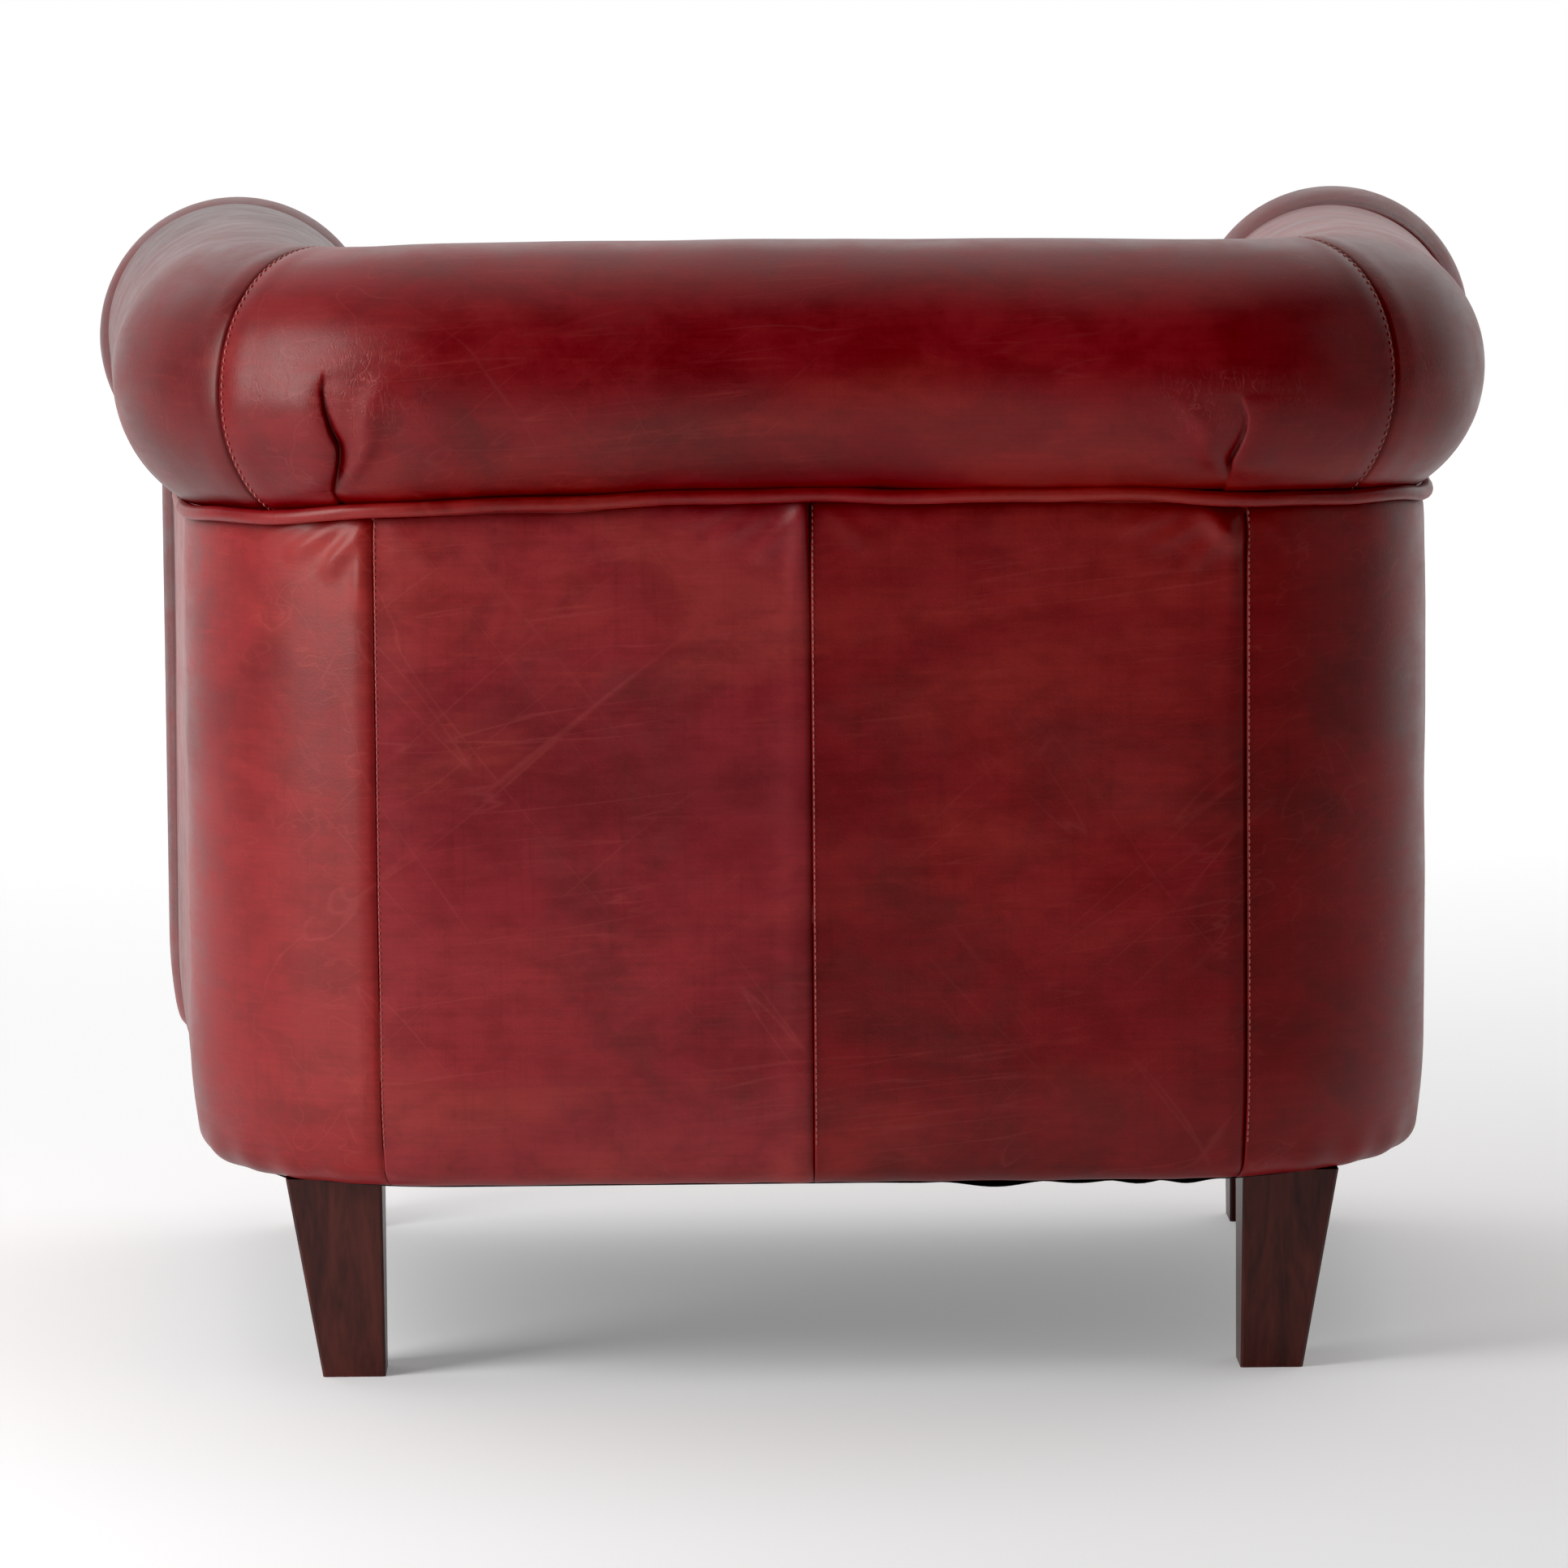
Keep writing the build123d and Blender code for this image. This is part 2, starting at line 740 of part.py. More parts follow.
def cushion_body(inset):
    """Cushion set in from its leather: swelling boxing and a crowned top."""
    top = cushion_z + cushion_height
    middle = cushion_z + (cushion_heel + cushion_height) / 2
    crown = top + cushion_crown - inset
    levels = [
        (cushion_heel, cushion_z + inset),
        (0, cushion_z + cushion_heel),
        (-cushion_belly, middle),
        (0, top),
        (cushion_crown, top + 0.45 * (crown - top)),
        (3 * cushion_crown, top + 0.85 * (crown - top)),
        (6 * cushion_crown, crown),
    ]
    sections = []
    for level_inset, height in levels:
        with BuildSketch(Plane.XY.offset(height)) as level:
            with BuildLine() as outline:
                cushion_outline(level_inset + inset)
            make_face(outline.edges())
        sections.append(level.sketch)
    loft(sections, ruled=True)


with BuildPart() as cushion_foam:
    cushion_body(leather + fit)

with BuildPart() as cushion_cover:
    cushion_body(0)
    with BuildPart(mode=Mode.PRIVATE) as cushion_hollow:
        cushion_body(leather)
    add(cushion_hollow.part, mode=Mode.SUBTRACT)


def welt(height):
    """Round welt that follows the cushion's plan line at a height."""
    with BuildLine(Plane.XY.offset(height)) as line:
        cushion_outline(-(welt_radius + 2 * fit))
    run = line.wire()
    with BuildSketch(section(run)) as profile:
        RegularPolygon(welt_radius, welt_sides)
    sweep(profile.sketch, path=run)


with BuildPart() as cushion_top_welt:
    welt(cushion_z + cushion_height)

with BuildPart() as cushion_bottom_welt:
    welt(cushion_z + cushion_heel)

with BuildPart() as cushion_zip:
    zip_y = back_y - cushion_side + cushion_belly + fit
    zip_z = cushion_z + (cushion_heel + cushion_height) / 2
    with BuildSketch(Plane.XZ.offset(-zip_y)):
        with Locations((0, zip_z)):
            Rectangle(zip_length, zip_width)
    extrude(amount=-zip_thickness)

pieces = {
    "rear_left_leg": rear_left_leg,
    "rear_right_leg": rear_right_leg,
    "front_left_leg": front_left_leg,
    "front_right_leg": front_right_leg,
    "leg_bolts": leg_bolts,
    "leg_tee_nuts": leg_tee_nuts,
    "base_ring": base_ring,
    "top_ring": top_ring,
    "back_posts": back_posts,
    "corner_posts": corner_posts,
    "side_posts": side_posts,
    "arm_front_posts": arm_front_posts,
    "back_seat_rail": back_seat_rail,
    "left_seat_rail": left_seat_rail,
    "right_seat_rail": right_seat_rail,
    "front_seat_rail": front_seat_rail,
    "rear_corner_blocks": rear_corner_blocks,
    "front_corner_blocks": front_corner_blocks,
    "left_arm_board": left_arm_board,
    "right_arm_board": right_arm_board,
    "seat_springs": seat_springs,
    "spring_clips": spring_clips,
    "spring_ties": spring_ties,
    "back_webbing": back_webbing,
    "left_arm_webbing": left_arm_webbing,
    "right_arm_webbing": right_arm_webbing,
    "spring_cover": spring_cover,
    "deck_pad": deck_pad,
    "deck_cloth": deck_cloth,
    "back_foam": back_foam,
    "left_arm_foam": left_arm_foam,
    "right_arm_foam": right_arm_foam,
    "back_cover": back_cover,
    "left_arm_cover": left_arm_cover,
    "right_arm_cover": right_arm_cover,
    "outer_lining": outer_lining,
    "outer_wadding": outer_wadding,
    "back_left_panel": back_left_panel,
    "back_right_panel": back_right_panel,
    "left_side_panel": left_side_panel,
    "right_side_panel": right_side_panel,
    "roll_piping": roll_piping,
    "left_facing_cover": left_facing_cover,
    "right_facing_cover": right_facing_cover,
    "left_facing_foam": left_facing_foam,
    "right_facing_foam": right_facing_foam,
    "front_border_cover": front_border_cover,
    "front_border_foam": front_border_foam,
    "dust_cover": dust_cover,
    "cushion_foam": cushion_foam,
    "cushion_cover": cushion_cover,
    "cushion_top_welt": cushion_top_welt,
    "cushion_bottom_welt": cushion_bottom_welt,
    "cushion_zip": cushion_zip,
}
for node, piece in pieces.items():
    piece.part.label = node
    export_step(piece.part, f"parts/{node}.step")
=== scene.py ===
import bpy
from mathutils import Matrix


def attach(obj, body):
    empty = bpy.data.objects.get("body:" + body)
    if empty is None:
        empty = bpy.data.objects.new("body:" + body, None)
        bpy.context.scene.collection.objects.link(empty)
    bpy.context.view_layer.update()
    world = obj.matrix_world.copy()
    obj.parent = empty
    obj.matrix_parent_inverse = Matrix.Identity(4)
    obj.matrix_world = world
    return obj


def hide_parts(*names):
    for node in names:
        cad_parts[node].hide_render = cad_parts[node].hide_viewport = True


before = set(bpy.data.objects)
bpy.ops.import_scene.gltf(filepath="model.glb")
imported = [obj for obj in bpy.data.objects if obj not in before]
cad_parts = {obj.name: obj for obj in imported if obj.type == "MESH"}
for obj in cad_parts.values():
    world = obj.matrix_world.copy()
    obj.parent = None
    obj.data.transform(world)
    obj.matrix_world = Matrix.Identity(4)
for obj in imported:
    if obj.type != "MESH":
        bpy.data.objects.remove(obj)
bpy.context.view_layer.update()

from math import acos, atan, cos, radians, sin, sqrt, tan

import bmesh
import bpy
import numpy as np
from mathutils import Matrix, Vector

# Studio: a plain pale floor that runs up into a white surround, a big soft light on the left of the
# picture, a broad one overhead and a weak one on the right. The camera stands behind the chair.
# The floor and the surround darken behind the camera, and the floor on its right too, as a flag there would
# do: on the floor this is painted shade in its colour. The floor also glows white, brighter away from the
# camera and dimmer in that painted shade, which is painted light.
scene = bpy.context.scene
scene.view_settings.view_transform = "Standard"
scene.view_settings.use_curve_mapping = True
scene.view_settings.curve_mapping.black_level = (0.007, 0.007, 0.007)
scene.view_settings.curve_mapping.update()

picture_side = 1932.0
focal_pixels = 9167.7
camera_place = Vector((0.0868, 4.7182, 0.8505))
camera_yaw, camera_pitch, camera_roll = radians(-0.919), radians(-6.278), radians(-0.432)
looking = Vector((
    sin(camera_yaw) * cos(camera_pitch),
    -cos(camera_yaw) * cos(camera_pitch),
    sin(camera_pitch),
))
level_right = Vector((-cos(camera_yaw), -sin(camera_yaw), 0))
level_up = level_right.cross(looking)
camera_right = level_right * cos(camera_roll) + level_up * sin(camera_roll)
camera_up = level_up * cos(camera_roll) - level_right * sin(camera_roll)
camera_data = bpy.data.cameras.new("camera")
camera_data.sensor_width = 36.0
camera_data.lens = focal_pixels / picture_side * camera_data.sensor_width
camera = bpy.data.objects.new("camera", camera_data)
turn = Matrix((camera_right, camera_up, -looking)).transposed().to_4x4()
camera.matrix_world = Matrix.Translation(camera_place) @ turn
scene.collection.objects.link(camera)
scene.camera = camera


def feed(tree, socket, value):
    """Sets a shader input, or joins it to another node's output."""
    if isinstance(value, bpy.types.NodeSocket):
        tree.links.new(value, socket)
    else:
        socket.default_value = value


def node(tree, kind, inputs=None, out=0, **settings):
    """Adds a shader node with its settings and inputs, and gives one of its outputs."""
    made = tree.nodes.new(f"ShaderNode{kind}")
    for key, value in settings.items():
        setattr(made, key, value)
    for key, value in (inputs or {}).items():
        feed(tree, made.inputs[key], value)
    return made.outputs[out]


def sums(tree, operation, *values):
    """Adds a maths node that works on numbers or outputs."""
    return node(tree, "Math", dict(enumerate(values)), operation=operation)


def ramp(tree, value, *stops, interpolation="LINEAR"):
    """Adds a colour ramp with a colour at each position."""
    made = node(tree, "ValToRGB", {"Fac": value}).node
    made.color_ramp.interpolation = interpolation
    elements = made.color_ramp.elements
    while len(elements) < len(stops):
        elements.new(0.5)
    for element, (at, colour) in zip(elements, stops):
        element.position = at
        element.color = (*colour, 1)
    return made.outputs["Color"]


def spread(tree, value, low, high, to_low=0.0, to_high=1.0):
    """Adds a node that lays one range of values over another, held at both ends."""
    inputs = {"Value": value, "From Min": low, "From Max": high, "To Min": to_low, "To Max": to_high}
    return node(tree, "MapRange", inputs)


def axes(tree, place):
    """Splits a place into its X, Y and Z."""
    return node(tree, "SeparateXYZ", {"Vector": place}).node.outputs


def new_finish(name):
    """New material: itself, its node tree and the place on the piece."""
    finish = bpy.data.materials.new(name)
    finish.use_nodes = True
    return finish, finish.node_tree, node(finish.node_tree, "TexCoord", out="Object")


def shade(tree, values):
    """Sets the named inputs of a material's surface shader."""
    for word, value in values.items():
        feed(tree, tree.nodes["Principled BSDF"].inputs[word], value)


surround = bpy.data.worlds.new("studio_surround")
surround.use_nodes = True
sky = surround.node_tree
sky_axes = axes(sky, node(sky, "TexCoord", out="Generated"))
facing_back = sums(sky, "MULTIPLY_ADD", sky_axes["Y"], 0.5, 0.5)
paler_above = sums(sky, "MULTIPLY_ADD", sky_axes["Z"], -0.16, facing_back)
backdrop = ramp(sky, paler_above, (0.08, (1.0,) * 3), (0.47, (0.09,) * 3), interpolation="EASE")
feed(sky, sky.nodes["Background"].inputs["Color"], backdrop)
feed(sky, sky.nodes["Background"].inputs["Strength"], 1.0)
scene.world = surround


def softbox(name, place, aim, size, power):
    """Rectangular area light at a place, turned to aim at a point."""
    data = bpy.data.lights.new(name, "AREA")
    data.shape = "RECTANGLE"
    data.size, data.size_y = size
    data.energy = power
    light = bpy.data.objects.new(name, data)
    light.location = place
    light.rotation_euler = (Vector(aim) - Vector(place)).to_track_quat("-Z", "Y").to_euler()
    light.visible_camera = False
    scene.collection.objects.link(light)


softbox("key_light", (1.68, 1.18, 1.05), (0.15, 0.33, 0.42), (0.9, 1.5), 36)
softbox("top_light", (0.0, 0.2, 2.6), (0, 0, 0.4), (2.4, 2.0), 8)
softbox("fill_light", (-2.4, 1.0, 1.2), (-0.2, 0.1, 0.4), (1.0, 1.8), 3)
softbox("backdrop_light", (0, -6.0, 4.0), (0, -6.2, 0), (10, 6), 90)

floor_half = 9
floor_corners = [(x * floor_half, y * floor_half, 0) for x, y in ((-1, -1), (1, -1), (1, 1), (-1, 1))]
floor_mesh = bpy.data.meshes.new("studio_floor")
floor_mesh.from_pydata(floor_corners, [], [(0, 1, 2, 3)])
floor = bpy.data.objects.new("studio_floor", floor_mesh)
scene.collection.objects.link(floor)
floor_paint, paint, floor_place = new_finish("studio_floor")
floor_axes = axes(paint, floor_place)
# Painted shade in the floor colour: darker behind the camera, and where flagged on its right.
behind_camera = spread(paint, floor_axes["Y"], 0.85, 3.0)
on_right = spread(paint, floor_axes["X"], -0.9, -2.2)
beside_chair = spread(paint, floor_axes["Y"], -2.6, -1.0, 0.0, 0.55)
flagged = sums(paint, "MULTIPLY", on_right, beside_chair)
floor_shade = sums(paint, "MAXIMUM", behind_camera, flagged)
# Painted light: the floor glows white, more away from the camera and less where flagged.
floor_glow = spread(paint, floor_axes["Y"], 0.9, -4.0, 0.13, 0.60)
shade(paint, {
    "Base Color": ramp(paint, floor_shade, (0.0, (0.84,) * 3), (1.0, (0.42,) * 3)),
    "Roughness": 0.9,
    "Emission Color": (1, 1, 1, 1),
    "Emission Strength": sums(paint, "MULTIPLY", floor_glow, sums(paint, "SUBTRACT", 1.0, flagged)),
})
floor_mesh.materials.append(floor_paint)

# Outside panels: four pieces of waxed oxblood hide, two on the back and one round each rear corner
# to the arm front. They are pulled over wadding, tacked under the roll and stapled under the frame.
# Each upright seam is a folded edge laid over its neighbour and held by one row of top-stitching.
back_y = 0.336
half_back = 0.3675
flare = 0.0525 / 0.670
flare_angle = atan(flare)
corner_radius = 0.165
corner_turn = radians(90) - flare_angle
back_flat = half_back - corner_radius * tan(corner_turn / 2)
corner_end = back_flat + corner_radius * corner_turn
front_y = -0.334
roll_size, roll_growth_left, roll_growth_right = 0.078, 0.009, 0.008
roll_inset, roll_shift_left, roll_shift_right = 0.034, 0.012, 0.019
roll_top = 0.690


def wall_out(s):
    """Outward direction in plan at wall distance s, which is positive on the sitter's left."""
    a = np.clip((np.abs(s) - back_flat) / corner_radius, 0, corner_turn)
    return np.sin(a) * np.sign(s), np.cos(a)


def wall_place(s, depth):
    """Plan position at wall distance s from the middle of the back, a depth inside the leather line."""
    s, depth = np.broadcast_arrays(np.asarray(s, float), np.asarray(depth, float))
    far = np.abs(s)
    a = np.clip((far - back_flat) / corner_radius, 0, corner_turn)
    x = np.minimum(far, back_flat) + (corner_radius - depth) * np.sin(a)
    y = back_y - corner_radius + (corner_radius - depth) * np.cos(a)
    past = np.maximum(far - corner_end, 0)
    return (x + past * sin(flare_angle)) * np.sign(s), y - past * cos(flare_angle)


def wall_end(depth):
    """Wall distance at which a line at this depth reaches the arm front plane."""
    end_y = back_y - corner_radius + (corner_radius - depth) * cos(corner_turn)
    return corner_end + (end_y - front_y) / cos(flare_angle)


def bell(x, width):
    """Smooth hump, 1 where x is 0."""
    return np.exp(-((x / width) ** 2))


def ease(x):
    """Smooth step of a share between 0 and 1."""
    return x * x * (3 - 2 * x)


def swell(s):
    """How far the roll has grown from the middle of the back (0) to the arm fronts (1)."""
    return np.where(s > 0, 1 - bell(s, 0.35), 1 - np.exp(-((s / 0.42) ** 4)))


def roll_radius(s):
    return roll_size + np.where(s > 0, roll_growth_left, roll_growth_right) * swell(s)


def roll_depth(s):
    return roll_inset + np.where(s > 0, roll_shift_left, roll_shift_right) * swell(s)


def roll_height(s):
    """Height of the roll's middle; its top sinks a little towards the rear corners."""
    sink = 0.004 * bell(np.abs(s) - 0.34, 0.13)
    towards_front = np.clip((np.abs(s) - 0.45) / 0.40, 0, 1) ** 2
    uneven = np.where(s > 0, 0.0035, -0.0030) * towards_front
    return roll_top - sink + uneven - roll_radius(s)


piping_radius = 0.0045
piping_proud, piping_pull = 0.0056, 0.0054


def piping_depth(s):
    """Depth of the piping's middle: outside the leather line on the back, pulled in along the arms."""
    pulled_in = np.clip((np.abs(s) - 0.34) / 0.10, 0, 1)
    return -piping_proud + piping_pull * ease(pulled_in) + 0.0004 * np.sin(s * 43)


def piping_height(s):
    """Height of the piping, which hangs lower as the roll grows and is not quite straight."""
    reach = roll_radius(s) + piping_radius
    level = roll_height(s) - np.sqrt(reach**2 - (roll_depth(s) - piping_depth(s)) ** 2)
    return level + 0.0008 * np.sin(s * 31 + 0.7) + 0.0005 * np.sin(s * 67 + 2.1)


def panel_height(s):
    """Height at which the outside leather runs in under the roll, behind the piping."""
    return roll_height(s) - np.sqrt(roll_radius(s) ** 2 - (roll_depth(s) - 0.001) ** 2) + 0.0024


def undulation(a, b, size, seed):
    """Smooth random rise and fall between -1 and 1 over two lengths, with a given wavelength."""
    grid = np.random.default_rng(seed).uniform(-1, 1, (64, 64))
    u, v = a / size + 200.3, b / size + 200.7
    iu, iv = np.floor(u).astype(int), np.floor(v).astype(int)
    fu, fv = ease(u - iu), ease(v - iv)
    low = grid[iu % 64, iv % 64] * (1 - fu) + grid[(iu + 1) % 64, iv % 64] * fu
    high = grid[iu % 64, (iv + 1) % 64] * (1 - fu) + grid[(iu + 1) % 64, (iv + 1) % 64] * fu
    return low * (1 - fv) + high * fv


def ridge(a, b, start, end, width, height):
    """A fold that rises along a line between two points and fades at both ends."""
    start, end = np.array(start), np.array(end)
    along = end - start
    length = np.hypot(*along)
    along = along / length
    p = ((a - start[0]) * along[0] + (b - start[1]) * along[1]) / length
    q = (b - start[1]) * along[0] - (a - start[0]) * along[1]
    fade = np.clip(1 - (2 * p - 1) ** 2, 0, 1)
    return height * fade * bell(q, width)


def set_marks(mesh, marks):
    """Stores point marks that the leather reads."""
    for word, values in marks.items():
        layer = mesh.attributes.new(word, "FLOAT", "POINT")
        layer.data.foreach_set("value", np.asarray(values, np.float32))


def put_mesh(name, places, faces, marks=None):
    """Smooth mesh object from points and faces, with optional point marks."""
    mesh = bpy.data.meshes.new(name)
    mesh.from_pydata(places, [], faces)
    mesh.polygons.foreach_set("use_smooth", [True] * len(mesh.polygons))
    set_marks(mesh, marks or {})
    mesh.update()
    piece = bpy.data.objects.new(name, mesh)
    scene.collection.objects.link(piece)
    return piece


def ring_faces(rings, around, base=0, wrap=False, turned=False):
    """Faces between closed rings of points; wrap joins the last ring to the first."""
    faces = []
    for i in range(rings if wrap else rings - 1):
        here, there = base + i * around, base + (i + 1) % rings * around
        for j in range(around):
            k = (j + 1) % around
            if turned:
                faces.append((here + j, here + k, there + k, there + j))
            else:
                faces.append((here + j, there + j, there + k, here + k))
    return faces


def closed_sweep(name, places, marks=None):
    """Closed solid from a grid of points: columns of a closed outline, capped at both ends."""
    columns, around, _ = places.shape
    faces = ring_faces(columns, around)
    faces.append(tuple(range(around)))
    last = (columns - 1) * around
    faces.append(tuple(reversed(range(last, last + around))))
    flat = {mark: values.reshape(-1) for mark, values in (marks or {}).items()}
    piece = put_mesh(name, places.reshape(-1, 3).tolist(), faces, flat)
    shape = bmesh.new()
    shape.from_mesh(piece.data)
    bmesh.ops.recalc_face_normals(shape, faces=shape.faces)
    caps = [face for face in shape.faces if len(face.verts) > 4]
    for face in caps:
        face.smooth = False
    bmesh.ops.triangulate(shape, faces=caps)
    shape.to_mesh(piece.data)
    shape.free()
    return piece


def clouds(tree, place, scale, detail, roughness=0.5, stretch=(1, 1, 1), distortion=0.0):
    """Adds cloudy noise, stretched along the axes."""
    shift = node(tree, "Mapping", {"Vector": place, "Scale": stretch})
    inputs = {"Vector": shift, "Scale": scale, "Detail": detail, "Roughness": roughness}
    return node(tree, "TexNoise", {**inputs, "Distortion": distortion}, out="Fac")


def leather(name, deep, mid, light, ember, smoked):
    """Waxed pull-up leather: cloudy patina, brushed streaks, fine grain, scuffs and worn creases, and
    painted shade, near black, where a piece's groove mark is set.
    """
    finish, tree, place = new_finish(name)
    pale = tuple(1.25 * c + 0.035 for c in ember)
    mix_first, mix_second, mix_out = 6, 7, 2

    def noise(*values):
        return clouds(tree, place, *values)

    def maths(*values):
        return sums(tree, *values)

    def grey(value, low, high, dark, bright):
        return ramp(tree, value, (low, (dark,) * 3), (high, (bright,) * 3), interpolation="EASE")

    def blend(kind, factor, colour, dye):
        inputs = {"Factor": factor, mix_first: colour, mix_second: (*dye, 1)}
        return node(tree, "Mix", inputs, out=mix_out, data_type="RGBA", blend_type=kind)

    def hairlines(value, width):
        off_middle = maths("ABSOLUTE", maths("SUBTRACT", value, 0.5))
        return grey(off_middle, 0.0, width, 1.0, 0.0)

    def scratches(angle, scale, width, low, high, most):
        inputs = {"Vector": place, "Rotation": (0, radians(angle), 0), "Scale": (16.0, 1.0, 0.8)}
        turned = node(tree, "Mapping", inputs, vector_type="TEXTURE")
        streaks = node(tree, "TexNoise", {"Vector": turned, "Scale": scale, "Detail": 2}, out="Fac")
        scuffed = grey(noise(7 + 0.02 * scale, 3, 0.6), low, high, 0.0, most)
        return maths("MULTIPLY", hairlines(streaks, width), scuffed)

    patches = noise(4.2, 4, 0.5, (0.75, 0.75, 1.5), 0.5)
    warm = noise(5.6, 4, 0.55, (0.7, 0.7, 1.7), 0.7)
    smoke = noise(5.8, 7, 0.66, (1.0, 1.0, 1.15), 0.5)
    mottle = noise(34, 7, 0.66, (0.8, 0.8, 1.3), 0.3)
    brushed_across = noise(190, 5, 0.7, (0.10, 0.10, 1.2))
    brushed_up = noise(210, 5, 0.65, (1.2, 1.2, 0.08))
    wiped = noise(430, 3, 0.6, (0.045, 0.045, 1.2))
    colour = ramp(tree, patches, (0.33, deep), (0.50, mid), (0.70, light), interpolation="EASE")
    colour = blend("MIX", grey(warm, 0.50, 0.72, 0.0, 0.60), colour, ember)
    colour = blend("MIX", grey(smoke, 0.47, 0.68, 0.0, 0.66), colour, smoked)
    colour = blend("MULTIPLY", grey(mottle, 0.36, 0.60, 0.62, 0.0), colour, (0.70, 0.62, 0.62))
    colour = blend("MIX", grey(brushed_across, 0.54, 0.80, 0.0, 0.30), colour, ember)
    colour = blend("MULTIPLY", grey(brushed_up, 0.50, 0.76, 0.0, 0.34), colour, (0.66, 0.56, 0.56))
    colour = blend("MULTIPLY", grey(wiped, 0.38, 0.60, 0.26, 0.0), colour, (0.74, 0.68, 0.68))

    scuffs = scratches(38, 20, 0.007, 0.42, 0.66, 0.18)
    scuffs = maths("MAXIMUM", scuffs, scratches(-52, 17, 0.006, 0.42, 0.66, 0.17))
    scuffs = maths("MAXIMUM", scuffs, scratches(7, 44, 0.014, 0.40, 0.64, 0.16))
    colour = blend("MIX", scuffs, colour, pale)

    groove_shade = node(tree, "Attribute", out="Fac", attribute_name="groove_shade")
    crease = node(tree, "Attribute", out="Fac", attribute_name="crease")
    # Painted shade: near black where the piece's groove mark is set, in seams, pleat folds, under the
    # piping and beside the welts.
    colour = blend("MIX", groove_shade, colour, tuple(0.12 * c for c in deep))
    wrinkles = hairlines(noise(62, 3, 0.55, (1.5, 1.5, 0.42), 0.9), 0.016)
    wrinkles = maths("MAXIMUM", wrinkles, hairlines(noise(88, 2, 0.5, (1.3, 1.3, 0.55), 1.2), 0.018))
    worn = maths("MULTIPLY", wrinkles, crease)
    colour = blend("MIX", maths("MULTIPLY", worn, 0.32), colour, pale)

    gloss = grey(mottle, 0.30, 0.72, 0.33, 0.43)
    rough = maths("ADD", gloss, maths("MULTIPLY", brushed_across, 0.08))
    pores = node(tree, "TexVoronoi", {"Vector": place, "Scale": 720}, out="Distance", feature="F1")
    height = maths("ADD", maths("MULTIPLY", pores, 0.5), maths("MULTIPLY", noise(420, 3, 0.6), 0.6))
    height = maths("ADD", height, maths("MULTIPLY", brushed_across, 0.35))
    height = maths("SUBTRACT", height, maths("MULTIPLY", worn, 9.0))
    height = maths("SUBTRACT", height, maths("MULTIPLY", scuffs, 0.8))
    shade(tree, {
        "Base Color": colour,
        "Roughness": maths("ADD", rough, maths("MULTIPLY", groove_shade, 0.2)),
        "Specular IOR Level": 0.30,
        "Specular Tint": (1.0, 0.91, 0.84, 1),
        "Coat Weight": 0.08,
        "Coat Roughness": 0.22,
        "Normal": node(tree, "Bump", {"Strength": 0.13, "Distance": 0.0006, "Height": height}),
    })
    return finish


# Copies of the one hide. Besides the leather's own tone, some are painted lighter or darker as the key
# light from the left falls: the left back panel's copy and the bright copy hold painted light, the left
# arm's copy and the dark copy hold painted shade.
hide_dyes = {
    "hide": (
        (0.122, 0.0026, 0.0056), (0.178, 0.0046, 0.0084), (0.220, 0.0080, 0.0120),
        (0.265, 0.0200, 0.0155), (0.098, 0.0095, 0.0100),
    ),
    "hide_back_left": (
        (0.165, 0.0105, 0.0165), (0.238, 0.0165, 0.0235), (0.285, 0.0240, 0.0295),
        (0.320, 0.0370, 0.0320), (0.128, 0.0185, 0.0200),
    ),
    "hide_back_right": (
        (0.130, 0.0036, 0.0062), (0.185, 0.0060, 0.0094), (0.222, 0.0100, 0.0130),
        (0.265, 0.0210, 0.0175), (0.098, 0.0100, 0.0108),
    ),
    "hide_bright": (
        (0.172, 0.0056, 0.0088), (0.238, 0.0105, 0.0138), (0.282, 0.0165, 0.0185),
        (0.310, 0.0285, 0.0225), (0.138, 0.0125, 0.0135),
    ),
    "hide_arm": (
        (0.088, 0.0026, 0.0046), (0.128, 0.0044, 0.0070), (0.160, 0.0078, 0.0100),
        (0.200, 0.0170, 0.0140), (0.072, 0.0080, 0.0085),
    ),
    "hide_dark": (
        (0.148, 0.0026, 0.0050), (0.210, 0.0042, 0.0072), (0.255, 0.0070, 0.0098),
        (0.285, 0.0150, 0.0125), (0.112, 0.0080, 0.0085),
    ),
}
hides = {word: leather(f"oxblood_{word}", *dyes) for word, dyes in hide_dyes.items()}


def in_hide(piece, word, body="chair"):
    """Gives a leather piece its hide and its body."""
    piece.data.materials.clear()
    piece.data.materials.append(hides[word])
    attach(piece, body)


thread, thread_tree, _ = new_finish("seam_thread")
thread_twist = node(thread_tree, "TexWave", {"Scale": 900}, out="Fac")
thread_dyes = (0.0, (0.24, 0.036, 0.030)), (1.0, (0.48, 0.150, 0.120))
shade(thread_tree, {"Base Color": ramp(thread_tree, thread_twist, *thread_dyes), "Roughness": 0.5})


